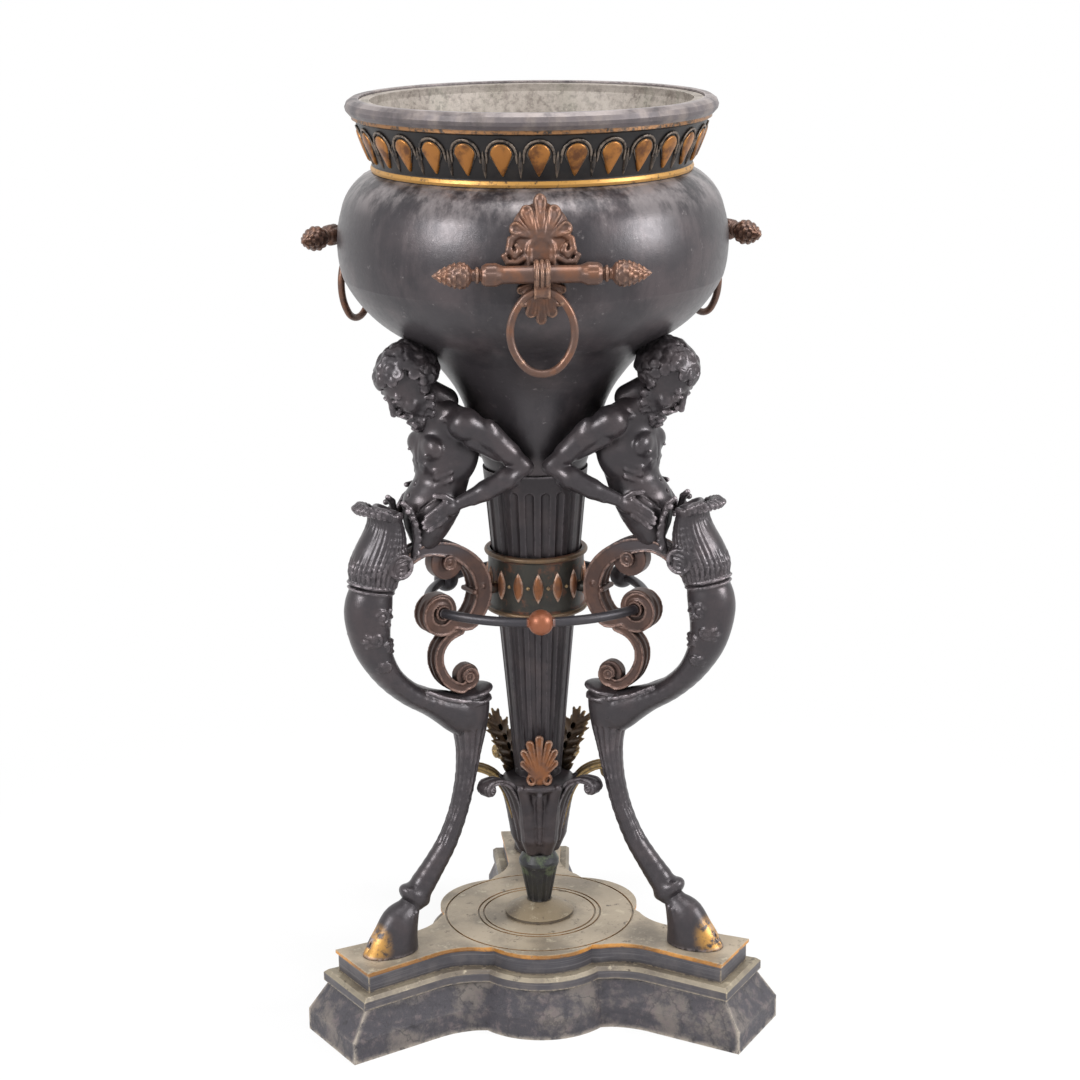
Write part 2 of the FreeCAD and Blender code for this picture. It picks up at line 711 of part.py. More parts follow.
def figure_head():
    """Plain egg-shaped head with its mass of hair, bowed forward on the neck, and a beard."""
    skull = limb(
        [
            (at_leg(135.0, 704.0), Vector(0, -0.45, 0.9), 12.0, 13.0),
            (at_leg(147.0, 716.0), Vector(0, -0.45, 0.9), 23.0, 20.0),
            (at_leg(158.0, 733.0), Vector(0, -0.35, 0.9), 34.0, 29.0),
            (at_leg(163.0, 752.0), Vector(0, -0.1, 0.9), 36.0, 31.0),
            (at_leg(165.0, 770.0), Vector(0, 0.0, 0.9), 27.0, 25.0),
            (at_leg(167.0, 784.0), Vector(0, 0.0, 0.9), 9.0, 9.0),
        ]
    )
    beard = limb(
        [
            (at_leg(177.0, 727.0), Vector(0, 0.2, -0.9), 19.0, 19.0),
            (at_leg(174.0, 712.0), Vector(0, 0.25, -0.9), 14.0, 14.0),
            (at_leg(168.0, 700.0), Vector(0, 0.3, -0.9), 5.0, 5.0),
        ]
    )
    return skull.fuse(beard)


def figure_arm(sign):
    """Arm akimbo: shoulder, elbow back towards the column, hand on the hip."""
    joints = (
        (124.0, 694.0, 38.0, 16.0),
        (102.0, 684.0, 45.0, 16.5),
        (76.0, 667.0, 53.0, 14.0),
        (54.0, 649.0, 57.0, 10.5),
        (74.0, 636.0, 54.0, 11.5),
        (100.0, 624.0, 46.0, 10.0),
        (122.0, 616.0, 38.0, 7.5),
        (138.0, 611.0, 31.0, 8.5),
    )
    points = [(at_leg(out, z, sign * side), radius) for out, z, side, radius in joints]
    body = Part.makeSphere(points[0][1], points[0][0])
    for (start, radius), (end, end_radius) in zip(points, points[1:]):
        run = end - start
        if abs(radius - end_radius) < 0.01:
            stretch = Part.makeCylinder(radius, run.Length, start, run)
        else:
            stretch = Part.makeCone(radius, end_radius, run.Length, start, run)
        body = body.fuse(stretch).fuse(Part.makeSphere(end_radius, end))
    return body


def tie_rod(from_azimuth, to_azimuth):
    """Rod bowed outwards between the volute eyes of two legs, with a ball at mid span."""
    middle = (from_azimuth + to_azimuth) / 2
    a = place(EYE_OUT, from_azimuth, EYE_Z, SCROLL_WIDTH / 2)
    b = place(EYE_OUT, to_azimuth, EYE_Z, -SCROLL_WIDTH / 2)
    centre = place(BALL_OUT, middle, EYE_Z)
    rod = bent_tube([(a, centre, b)], ROD_RADIUS)
    return rod.fuse(Part.makeSphere(BALL_RADIUS, centre))


# ---------------------------------------------------------------- bowl, rim, liner
def bowl_curve(grow=0.0):
    """Outside of the bowl from the neck down to the stem, as (radius, height)."""
    stem = COLUMN_TOP_RADIUS - 2.5
    shoulder = [(0.0, 1.0), (0.512, 0.821), (0.866, 0.474)]
    below = [
        (1.0, 1.0),
        (0.968, 0.861),
        (0.846, 0.741),
        (0.635, 0.625),
        (0.391, 0.510),
        (0.269, 0.422),
        (0.173, 0.327),
        (0.115, 0.227),
        (0.045, 0.088),
        (0.0, 0.0),
    ]
    swell = BELLY_RADIUS - NECK_RADIUS
    curve = [(NECK_RADIUS + swell * out, BELLY_Z + NECK_RISE * up) for out, up in shoulder]
    curve += [(stem + (BELLY_RADIUS - stem) * out, COLUMN_TOP + BELLY_RISE * up) for out, up in below]
    return [(radius + grow, z) for radius, z in curve]


def bowl_inside():
    """Corners of the hollow in the bowl, from its floor up to the neck."""
    floor_share = 0.538
    hollow = [(0.472, floor_share), (0.689, 0.649), (0.866, 0.785), (0.943, 0.888)]
    floor_z = COLUMN_TOP + BELLY_RISE * floor_share
    belly = BELLY_RADIUS - BOWL_WALL
    neck = NECK_RADIUS - BOWL_WALL
    corners = [(0.0, COLUMN_TOP), (0.0, floor_z)]
    corners += [(BELLY_RADIUS * out, COLUMN_TOP + BELLY_RISE * up) for out, up in hollow]
    corners += [(belly, BELLY_Z), (neck + (belly - neck) * 0.866, BELLY_Z + NECK_RISE * 0.41)]
    corners += [(neck + (belly - neck) * 0.5, BELLY_Z + NECK_RISE * 0.744)]
    corners += [(neck, NECK_Z - 5.0), (neck, NECK_Z)]
    return corners


def bowl():
    return turned_profile(bowl_curve(), bowl_inside())


def frieze_radius(z):
    share = (z - NECK_Z) / (FRIEZE_TOP_Z - NECK_Z)
    return NECK_RADIUS - 2.0 + (FRIEZE_TOP_RADIUS - NECK_RADIUS + 2.0) * share


def teardrop(azimuth):
    """Drop-shaped boss on the sloping frieze: round above, pointed below."""
    top_z = FRIEZE_TOP_Z - 8.0
    centre_z = top_z - DROP_HALF
    tip_z = top_z - DROP_HEIGHT
    out = FRIEZE_TOP_RADIUS
    left = place(out + 20, 0.0, centre_z, -DROP_HALF)
    right = place(out + 20, 0.0, centre_z, DROP_HALF)
    top = place(out + 20, 0.0, top_z)
    tip = place(out + 20, 0.0, tip_z)
    outline = Part.Wire([arc(left, top, right), line(right, tip), line(tip, left)])
    blank = Part.Face(outline).extrude(Vector(0, 60, 0))
    return turned(blank, azimuth)


def rim_band():
    """Sloping frieze with its neck ring below, a fillet above and a row of drop-shaped bosses."""
    neck = frieze_radius(NECK_Z)
    wall = BOWL_WALL
    body = revolved(
        [
            (neck - wall + 2.0, NECK_Z),
            (neck + 4.0, NECK_Z),
            (neck + 5.0, NECK_Z + 3.0),
            (neck + 4.0, NECK_Z + 6.0),
            (frieze_radius(NECK_Z + 8.0), NECK_Z + 8.0),
            (FRIEZE_TOP_RADIUS, FRIEZE_TOP_Z),
            (FRIEZE_TOP_RADIUS + 4.0, FRIEZE_TOP_Z + 2.0),
            (FRIEZE_TOP_RADIUS + 4.0, LIP_BOTTOM_Z),
            (FRIEZE_TOP_RADIUS - wall, LIP_BOTTOM_Z),
            (FRIEZE_TOP_RADIUS - wall, FRIEZE_TOP_Z),
        ]
    )
    low = NECK_Z + 8.0
    relief = revolved(
        [
            (frieze_radius(low) - 2.0, low),
            (frieze_radius(low) + DROP_RELIEF, low),
            (FRIEZE_TOP_RADIUS + DROP_RELIEF, FRIEZE_TOP_Z),
            (FRIEZE_TOP_RADIUS - 2.0, FRIEZE_TOP_Z),
        ]
    )
    for index in range(DROP_COUNT):
        drop = teardrop(index * 360.0 / DROP_COUNT).common(relief)
        body = body.fuse(drop)
    return body


def rim_lip():
    """Rolled lip with a rebate inside that carries the liner."""
    seat_z = LIP_TOP_Z - LINER_SEAT_DEPTH
    return revolved(
        [
            (LIP_INNER_RADIUS - 3.0, LIP_BOTTOM_Z),
            (LIP_RADIUS - 5.0, LIP_BOTTOM_Z),
            (LIP_RADIUS - 1.0, LIP_BOTTOM_Z + 4.5),
            (LIP_RADIUS, LIP_BOTTOM_Z + 8.5),
            (LIP_RADIUS - 2.0, LIP_TOP_Z - 3.5),
            (LIP_RADIUS - 7.0, LIP_TOP_Z),
            (LIP_INNER_RADIUS + 5.0, LIP_TOP_Z),
            (LIP_INNER_RADIUS + 5.0, seat_z),
            (LIP_INNER_RADIUS - 3.0, seat_z),
        ]
    )


def liner():
    """Lift-out liner: a tapering pail whose flange lies in the lip's rebate."""
    seat_z = LIP_TOP_Z - LINER_SEAT_DEPTH
    flange = LIP_INNER_RADIUS + 5.0 - GAP * 2
    mouth = LIP_INNER_RADIUS - 3.0 - 1.0
    neck = NECK_RADIUS - BOWL_WALL - 5.0
    return revolved(
        [
            (0.0, LINER_FLOOR_Z),
            (LINER_FLOOR_RADIUS, LINER_FLOOR_Z),
            (neck, NECK_Z),
            (mouth, seat_z - 6.0),
            (mouth, seat_z),
            (flange, seat_z),
            (flange, seat_z + LINER_WALL),
            (mouth - LINER_WALL, seat_z + LINER_WALL),
            (mouth - LINER_WALL, seat_z - 6.0),
            (neck - LINER_WALL, NECK_Z),
            (LINER_FLOOR_RADIUS - LINER_WALL, LINER_FLOOR_Z + LINER_WALL),
            (0.0, LINER_FLOOR_Z + LINER_WALL),
        ]
    )


# ---------------------------------------------------------------- drop-ring handles, at the front
def palmette_outline():
    """Half outline of the handle plate from its top point down to the shell's tip."""
    return [
        (0.0, PALMETTE_TOP_Z),
        (11.0, PALMETTE_TOP_Z - 12.0),
        (25.0, PALMETTE_TOP_Z - 18.0),
        (22.0, PALMETTE_TOP_Z - 33.0),
        (34.0, PALMETTE_TOP_Z - 40.0),
        (35.0, PALMETTE_TOP_Z - 54.0),
        (25.0, PALMETTE_TOP_Z - 60.0),
        (46.0, BAR_Z + BAR_RADIUS + 2.0),
        (46.0, BAR_Z - BAR_RADIUS),
        (20.0, BAR_Z - BAR_RADIUS - 4.0),
        (23.0, SHELL_TIP_Z + 18.0),
        (10.0, SHELL_TIP_Z + 13.0),
        (0.0, SHELL_TIP_Z),
    ]


def handle_plate():
    """Palmette above and shell below the bar, lying on the bowl, with a saddle for the bar."""
    right = palmette_outline()
    outline = right + [(-half, z) for half, z in reversed(right[1:-1])]
    points = [Vector(half, 0, z) for half, z in outline]
    blank = Part.Face(Part.makePolygon(points + points[:1])).extrude(Vector(0, -300, 0))
    skin = turned_profile(
        bowl_curve(PLATE_RELIEF)[:8],
        [(radius, z) for radius, z in reversed(bowl_curve()[:8])],
    )
    solid_bowl = turned_profile(bowl_curve(), [(0.0, COLUMN_TOP), (0.0, NECK_Z)])
    body = blank.common(skin).cut(solid_bowl)
    saddle = Part.makeBox(84.0, BAR_OUT - BELLY_RADIUS + 40.0, 15.0)
    saddle.translate(Vector(-42.0, -BAR_OUT, BAR_Z - 7.5))
    bar_space = Part.makeCylinder(
        BAR_RADIUS, 4 * BAR_HALF, Vector(-2 * BAR_HALF, -BAR_OUT, BAR_Z), Vector(1, 0, 0)
    )
    return body.fuse(saddle.cut(solid_bowl)).cut(bar_space).cut(clip_space())


def clip_space():
    """Room for the clip where it passes behind the bar."""
    radius = BAR_RADIUS + CLIP_WALL + GAP
    return Part.makeCylinder(
        radius, CLIP_WIDTH + 2 * GAP, Vector(-CLIP_WIDTH / 2 - GAP, -BAR_OUT, BAR_Z), Vector(1, 0, 0)
    )


def handle_bar():
    """Turned bar with leaf sleeves, necks and cone finials, along X."""
    neck_end = BAR_HALF + 6.0
    cone_start = TIP_HALF - CONE_LENGTH
    half = [
        (BAR_RADIUS, 0.0),
        (BAR_RADIUS, BAR_HALF - SLEEVE_LENGTH),
        (SLEEVE_RADIUS, BAR_HALF - SLEEVE_LENGTH + 6.0),
        (BAR_RADIUS - 1.0, BAR_HALF),
        (COLLAR_NECK_RADIUS, BAR_HALF),
        (COLLAR_NECK_RADIUS + 3.0, (BAR_HALF + neck_end) / 2),
        (COLLAR_NECK_RADIUS, neck_end),
        (COLLAR_NECK_RADIUS, cone_start),
        (CONE_RADIUS - 2.0, cone_start + 5.0),
        (CONE_RADIUS, cone_start + 12.0),
        (CONE_RADIUS * 0.72, cone_start + 27.0),
        (0.0, TIP_HALF),
    ]
    profile = [(0.0, -TIP_HALF)]
    profile += [(radius, -x) for radius, x in reversed(half[1:-1])]
    profile += half[1:]
    points = [Vector(x, -radius, 0) for radius, x in profile]
    face = Part.Face(Part.makePolygon(points + points[:1]))
    body = face.revolve(Vector(0, 0, 0), Vector(1, 0, 0), 360)
    body.translate(Vector(0, -BAR_OUT, BAR_Z))
    return body


def handle_clip():
    """Strap round the bar that hangs down to an eye for the ring."""
    start = Vector(-CLIP_WIDTH / 2, -BAR_OUT, BAR_Z)
    eye_start = Vector(-CLIP_WIDTH / 2, -BAR_OUT, PIVOT_Z)
    along = Vector(1, 0, 0)
    eye_outer = EYE_HOLE + CLIP_EYE_WALL
    body = Part.makeCylinder(BAR_RADIUS + CLIP_WALL, CLIP_WIDTH, start, along)
    body = body.fuse(Part.makeCylinder(eye_outer, CLIP_WIDTH, eye_start, along))
    cheek = Part.makeBox(CLIP_WIDTH, 2 * eye_outer, BAR_Z - PIVOT_Z)
    cheek.translate(Vector(-CLIP_WIDTH / 2, -BAR_OUT - eye_outer, PIVOT_Z))
    body = body.fuse(cheek)
    body = body.cut(Part.makeCylinder(BAR_RADIUS, CLIP_WIDTH, start, along))
    return body.cut(Part.makeCylinder(EYE_HOLE, CLIP_WIDTH, eye_start, along)).removeSplitter()


def handle_ring():
    """Oval drop ring hanging from the clip's eye."""
    centre_z = PIVOT_Z - RING_HALF_HEIGHT
    # four tangent arcs: two of the end radius above and below, two of the flank radius beside
    turn = math.radians(RING_END_TURN)
    end = RING_END_RADIUS
    end_z = RING_HALF_HEIGHT - end
    joint_x = end * math.sin(turn)
    joint_z = end_z + end * math.cos(turn)

    def spot(x, z):
        return Vector(x, -BAR_OUT, centre_z + z)

    arcs = [
        (spot(-joint_x, joint_z), spot(0, RING_HALF_HEIGHT), spot(joint_x, joint_z)),
        (spot(joint_x, joint_z), spot(RING_HALF_WIDTH, 0), spot(joint_x, -joint_z)),
        (spot(joint_x, -joint_z), spot(0, -RING_HALF_HEIGHT), spot(-joint_x, -joint_z)),
        (spot(-joint_x, -joint_z), spot(-RING_HALF_WIDTH, 0), spot(-joint_x, joint_z)),
    ]
    return bent_tube(arcs, RING_TUBE)


# ---------------------------------------------------------------- the whole piece
def main():
    write(stone_plinth(), "stone_plinth")
    write(base_moulding(), "base_moulding")
    write(base_plate(), "base_plate")
    write(foot_disc(), "foot_disc")
    write(vase_knob(), "vase_knob")
    cup = leaf_cup()
    write(cup, "leaf_cup")
    write(column(), "column_shaft")
    band = collar()
    for number, azimuth in enumerate(HANDLE_AZIMUTHS, 1):
        write(cup_leaf(azimuth).cut(cup), "cup_leaf_%d" % number)
    leg = leg_casting()
    scroll = c_scroll()
    link = s_scroll().cut(scroll).cut(leg)
    leafy = figure_cup()
    scroll = scroll.cut(leafy)
    torso = figure_torso().cut(leafy).cut(scroll)
    head = figure_head().cut(torso)
    arms = {"left": figure_arm(1.0).cut(torso), "right": figure_arm(-1.0).cut(torso)}
    for azimuth in LEG_AZIMUTHS:
        band = band.cut(turned(scroll, azimuth))
    write(band, "collar")
    for number, azimuth in enumerate(LEG_AZIMUTHS, 1):
        write(turned(leg, azimuth), "leg_%d" % number)
        write(turned(hoof(), azimuth), "hoof_%d" % number)
        write(turned(leafy.cut(leg), azimuth), "figure_cup_%d" % number)
        write(turned(scroll, azimuth), "c_scroll_%d" % number)
        write(turned(link, azimuth), "s_scroll_%d" % number)
        write(turned(torso, azimuth), "figure_torso_%d" % number)
        write(turned(head, azimuth), "figure_head_%d" % number)
        for side, arm in arms.items():
            write(turned(arm, azimuth), "figure_arm_%s_%d" % (side, number))
    spans = ((-60.0, 60.0), (60.0, 180.0), (180.0, 300.0))
    for number, (start, end) in enumerate(spans, 1):
        rod = tie_rod(start, end)
        rod = rod.cut(turned(scroll, start)).cut(turned(scroll, end))
        write(rod, "tie_rod_%d" % number)
    write(bowl(), "bowl")
    write(rim_band(), "rim_band")
    write(rim_lip(), "rim_lip")
    write(liner(), "liner")
    for number, azimuth in enumerate(HANDLE_AZIMUTHS, 1):
        write(turned(handle_plate(), azimuth), "handle_plate_%d" % number)
        write(turned(handle_bar(), azimuth), "handle_bar_%d" % number)
        write(turned(handle_clip(), azimuth), "handle_clip_%d" % number)
        write(turned(handle_ring(), azimuth), "handle_ring_%d" % number)


main()
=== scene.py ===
"""Dressed model of a patinated jardiniere on its three-legged stand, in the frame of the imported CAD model.

Lengths in the classes are millimetres. The front of the object is -Y, azimuths grow from there towards
+X, "out" is the distance from the axis and "side" the distance along the tangent.
"""

import logging
import math
from dataclasses import dataclass, field
from enum import Enum
from functools import partial
from typing import Callable, Iterator, Sequence

import bpy
import numpy as np
from mathutils import Matrix, Vector

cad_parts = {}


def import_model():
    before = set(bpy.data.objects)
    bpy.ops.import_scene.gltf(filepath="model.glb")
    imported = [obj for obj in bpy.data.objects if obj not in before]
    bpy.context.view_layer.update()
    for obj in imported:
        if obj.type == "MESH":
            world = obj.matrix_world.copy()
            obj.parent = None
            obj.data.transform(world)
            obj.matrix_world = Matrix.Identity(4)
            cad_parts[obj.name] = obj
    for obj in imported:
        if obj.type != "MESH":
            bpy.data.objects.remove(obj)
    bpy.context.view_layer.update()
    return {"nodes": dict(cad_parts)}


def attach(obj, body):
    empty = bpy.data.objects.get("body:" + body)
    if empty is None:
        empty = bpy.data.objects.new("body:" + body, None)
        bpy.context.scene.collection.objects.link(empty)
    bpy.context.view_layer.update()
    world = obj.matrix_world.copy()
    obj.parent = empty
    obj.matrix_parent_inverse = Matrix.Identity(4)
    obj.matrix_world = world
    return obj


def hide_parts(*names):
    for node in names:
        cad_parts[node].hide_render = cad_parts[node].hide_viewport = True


log = logging.getLogger("jardiniere")

# azimuths in degrees
LEG_AZIMUTHS = (-60.0, 60.0, 180.0)
HANDLE_AZIMUTHS = (0.0, 120.0, -120.0)
# heights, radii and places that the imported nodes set, in millimetres
PLATE_TOP = 96.3
CUP_Z = 173.3
COLUMN_Z = 271.3
COLUMN_TOP = 633.0
COLLAR_Z = 470.0
COLLAR_TOP = 540.0
COLLAR_RADIUS = 56.0
NECK_Z = 962.0
NECK_RADIUS = 171.0
FRIEZE_TOP_Z = 1016.0
FRIEZE_TOP_RADIUS = 189.0
BAR_Z = 883.0
BAR_OUT = 226.3
EYE_OUT = 129.0
EYE_Z = 486.0

Point = tuple[float, float, float]
Row = tuple[float, ...]
Array = np.ndarray
Net = tuple[np.ndarray, np.ndarray]
NodeMaker = Callable[..., bpy.types.Node]


class Body(str, Enum):
    """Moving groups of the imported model."""

    STAND = "stand"
    BOWL = "bowl_group"
    LINER = "liner_pail"


# ------------------------------------------------------------------ places and meshes
def to_world(points: Array, azimuth: float) -> Array:
    """Turn (side, out, z) millimetres at an azimuth into metres of the frame.

    Args:
        points: rows of side, out and height.
        azimuth: degrees from the front.

    Returns:
        Rows of x, y and z in metres.
    """
    turn = math.radians(azimuth)
    side, out, z = points[:, 0], points[:, 1], points[:, 2]
    x = out * math.sin(turn) + side * math.cos(turn)
    y = -out * math.cos(turn) + side * math.sin(turn)
    return np.stack([x, y, z], axis=1) / 1000.0


def mesh_piece(
    name: str, points: Array, faces: Array, material: bpy.types.Material, smooth: bool = True
) -> bpy.types.Object:
    """Make a mesh object whose place is in its vertices.

    Args:
        name: name of the piece.
        points: vertex positions in metres.
        faces: rows of vertex indices, all triangles or all quads.
        material: finish of the whole piece.
        smooth: whether its faces are shaded smooth.

    Returns:
        The new object, linked to the scene.
    """
    mesh = bpy.data.meshes.new(name)
    count, corners = faces.shape
    mesh.vertices.add(len(points))
    mesh.vertices.foreach_set("co", np.ascontiguousarray(points, dtype=np.float32).ravel())
    mesh.loops.add(count * corners)
    mesh.loops.foreach_set("vertex_index", np.ascontiguousarray(faces, dtype=np.int32).ravel())
    mesh.polygons.add(count)
    mesh.polygons.foreach_set("loop_start", np.arange(0, count * corners, corners, dtype=np.int32))
    mesh.polygons.foreach_set("use_smooth", np.full(count, smooth))
    mesh.update(calc_edges=True)
    mesh.validate()
    mesh.materials.append(material)
    piece = bpy.data.objects.new(name, mesh)
    bpy.context.scene.collection.objects.link(piece)
    return piece


def grid_faces(rows: int, columns: int, wrap: bool) -> Array:
    """Quads of a grid of points, row after row.

    Args:
        rows: number of rows of points.
        columns: number of points in a row.
        wrap: whether the last column joins the first.

    Returns:
        Rows of four vertex indices.
    """
    last = columns if wrap else columns - 1
    row, column = np.meshgrid(np.arange(rows - 1), np.arange(last), indexing="ij")
    beside = (column + 1) % columns
    corners = [row * columns + column, row * columns + beside]
    corners += [(row + 1) * columns + beside, (row + 1) * columns + column]
    return np.stack([corner.ravel() for corner in corners], axis=1)


def set_piece(
    name: str, points: Array, faces: Array, material: bpy.types.Material, body: Body, slot: str,
    *replaced: str,
) -> None:
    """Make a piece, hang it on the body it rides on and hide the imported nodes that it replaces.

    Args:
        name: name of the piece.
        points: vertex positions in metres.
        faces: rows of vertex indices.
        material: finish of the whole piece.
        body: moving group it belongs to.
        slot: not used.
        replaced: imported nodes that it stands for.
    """
    piece = mesh_piece(name, points, faces, material)
    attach(piece, body.value)
    if replaced:
        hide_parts(*replaced)
    log.info("%s: %d faces", name, len(faces))


def spokes(count: int, offset: float = 0.0) -> Iterator[tuple[float, float]]:
    """Sine and cosine of equal angles round a circle, the first one offset by a share of a step."""
    for index in range(count):
        angle = 2 * math.pi * (index + offset) / count
        yield math.sin(angle), math.cos(angle)


def fanned(lobes: Sequence[Point]) -> list[Point]:
    """Mirror lobes of side, height and width, but for those in the middle."""
    return [(sign * side, z, width) for side, z, width in lobes for sign in (-1.0, 1.0) if side or sign < 0.0]


# ------------------------------------------------------------------ modelling clay
@dataclass
class Clay:
    """Distance field on a grid of millimetres, in which added forms melt into each other."""

    low: Point
    high: Point
    voxel: float
    far: float = 30.0
    hand: float = field(default=1.0, init=False)
    axes: list[Array] = field(init=False)
    values: Array = field(init=False)

    def __post_init__(self) -> None:
        """Lay out the grid."""
        counts = [int(math.ceil((b - a) / self.voxel)) + 1 for a, b in zip(self.low, self.high)]
        self.axes = [a + self.voxel * np.arange(n, dtype=np.float32) for a, n in zip(self.low, counts)]
        self.values = np.full(counts, self.far, dtype=np.float32)

    def both_sides(self) -> Iterator[float]:
        """Let a loop add its forms on the side of falling azimuth, then on the other."""
        for hand in (-1.0, 1.0):
            self.hand = hand
            yield hand
        self.hand = 1.0

    def window(self, low: Sequence[float], high: Sequence[float]) -> tuple[slice, slice, slice]:
        """Part of the grid between two corners.

        Args:
            low: lowest corner.
            high: highest corner.

        Returns:
            One slice for each axis.
        """
        spans = []
        for axis, a, b in zip(self.axes, low, high):
            first = int(np.searchsorted(axis, a))
            last = int(np.searchsorted(axis, b)) + 1
            spans.append(slice(min(first, len(axis) - 1), max(last, first + 1)))
        return spans[0], spans[1], spans[2]

    def coordinates(self, spans: tuple[slice, slice, slice]) -> tuple[Array, Array, Array]:
        """Side, out and height of the points in a window, ready to broadcast."""
        x, y, z = (axis[span] for axis, span in zip(self.axes, spans))
        return x[:, None, None], y[None, :, None], z[None, None, :]

    def blend_in(
        self, low: Array, high: Array, shape: Callable[[Array, Array, Array], Array], melt: float, cut: bool
    ) -> None:
        """Join a shape to the field, or cut it out.

        Args:
            low: lowest corner of the shape.
            high: highest corner of the shape.
            shape: distance to the shape's surface, negative inside.
            melt: width over which the two surfaces run together.
            cut: whether the shape is taken away.
        """
        margin = melt + 3.0 * self.voxel
        spans = self.window(low - margin, high + margin)
        distance = shape(*self.coordinates(spans))
        old = self.values[spans]
        sign = -1.0 if cut else 1.0
        old = old * sign
        joined = np.minimum(old, distance)
        if melt > 0.0:
            near = np.maximum(melt - np.abs(old - distance), 0.0) / melt
            joined = joined - near * near * melt * 0.25
        self.values[spans] = joined * sign

    def limb(
        self, a: Point, b: Point, radius_a: float, radius_b: float, melt: float = 3.0, cut: bool = False,
        flat: float = 1.0,
    ) -> None:
        """Add a tapering rod with round ends.

        Args:
            a: start point.
            b: end point.
            radius_a: radius at the start.
            radius_b: radius at the end.
            melt: width of the join.
            cut: whether the form is taken away.
            flat: how much wider the form is along the side axis.
        """
        a, b = (self.hand * a[0], a[1], a[2]), (self.hand * b[0], b[1], b[2])
        start = np.array(a, dtype=np.float32)
        run = np.array(b, dtype=np.float32) - start
        stretch = np.array([1.0 / flat, 1.0, 1.0], dtype=np.float32)
        run_s = run * stretch
        length2 = float(run_s @ run_s) + 1e-9

        def shape(x: Array, y: Array, z: Array) -> Array:
            dx, dy, dz = (x - start[0]) / flat, y - start[1], z - start[2]
            t = np.clip((dx * run_s[0] + dy * run_s[1] + dz * run_s[2]) / length2, 0.0, 1.0)
            away = (dx - t * run_s[0]) ** 2 + (dy - t * run_s[1]) ** 2 + (dz - t * run_s[2]) ** 2
            return np.sqrt(away) - (radius_a + t * (radius_b - radius_a))

        widest = max(radius_a, radius_b) * np.array([flat, 1.0, 1.0])
        end = np.array(b)
        self.blend_in(np.minimum(a, end) - widest, np.maximum(a, end) + widest, shape, melt, cut)

    def ball(self, centre: Point, radius: float, melt: float = 3.0, cut: bool = False) -> None:
        """Add or cut a ball."""
        self.limb(centre, centre, radius, radius, melt, cut)

    def egg(
        self, centre: Point, radii: Point, tilt: float = 0.0, melt: float = 3.0, cut: bool = False,
        roll: float = 0.0,
    ) -> None:
        """Add an ellipsoid.

        Args:
            centre: its centre.
            radii: half axes along side, out and height before it is tilted.
            tilt: degrees by which its top leans out.
            melt: width of the join.
            cut: whether it is taken away.
            roll: degrees by which its top leans to the side.
        """
        turn = math.radians(tilt)
        bank = math.radians(roll * self.hand)
        cos_t, sin_t, cos_r, sin_r = math.cos(turn), math.sin(turn), math.cos(bank), math.sin(bank)
        mid = np.array((self.hand * centre[0], centre[1], centre[2]), dtype=np.float32)
        rx, ry, rz = radii

        def shape(x: Array, y: Array, z: Array) -> Array:
            dx, dy, dz = x - mid[0], y - mid[1], z - mid[2]
            px = dx * cos_r - dz * sin_r
            pz = dx * sin_r + dz * cos_r
            py = dy * cos_t - pz * sin_t
            pz = dy * sin_t + pz * cos_t
            first = np.sqrt((px / rx) ** 2 + (py / ry) ** 2 + (pz / rz) ** 2) + 1e-6
            second = np.sqrt((px / rx**2) ** 2 + (py / ry**2) ** 2 + (pz / rz**2) ** 2) + 1e-9
            return first * (first - 1.0) / second

        reach = np.full(3, max(radii))
        self.blend_in(mid - reach, mid + reach, shape, melt, cut)

    def path(
        self, rows: Sequence[Row], melt: float = 3.0, cut: bool = False, flat: float = 1.0
    ) -> None:
        """Add a chain of tapering rods through rows of side, out, height and radius."""
        for start, end in zip(rows, rows[1:]):
            self.limb(start[:3], end[:3], start[3], end[3], melt, cut, flat)

    def curl(
        self, centre: Sequence[float], normal: Sequence[float], radius: float, tube: float, melt: float = 1.0
    ) -> None:
        """Add a small ring lying on a surface, like a lock of curly hair.

        Args:
            centre: middle of the ring.
            normal: direction away from the surface.
            radius: radius of the ring's line.
            tube: radius of its round section.
            melt: width of the join.
        """
        centre = np.array([self.hand * centre[0], centre[1], centre[2]])
        normal = np.array([self.hand * normal[0], normal[1], normal[2]])
        nx, ny, nz = (normal / np.linalg.norm(normal)).tolist()

        def shape(x: Array, y: Array, z: Array) -> Array:
            dx, dy, dz = x - centre[0], y - centre[1], z - centre[2]
            up = dx * nx + dy * ny + dz * nz
            flat = np.sqrt(np.maximum(dx * dx + dy * dy + dz * dz - up * up, 0.0))
            return np.sqrt((flat - radius) ** 2 + up * up) - tube

        reach = radius + tube
        self.blend_in(centre - reach, centre + reach, shape, melt, False)

    def level(self, z: float, keep_above: bool) -> None:
        """Cut the clay off flat at a height."""
        heights = self.axes[2][None, None, :]
        plane = (z - heights) if keep_above else (heights - z)
        self.values = np.maximum(self.values, plane)

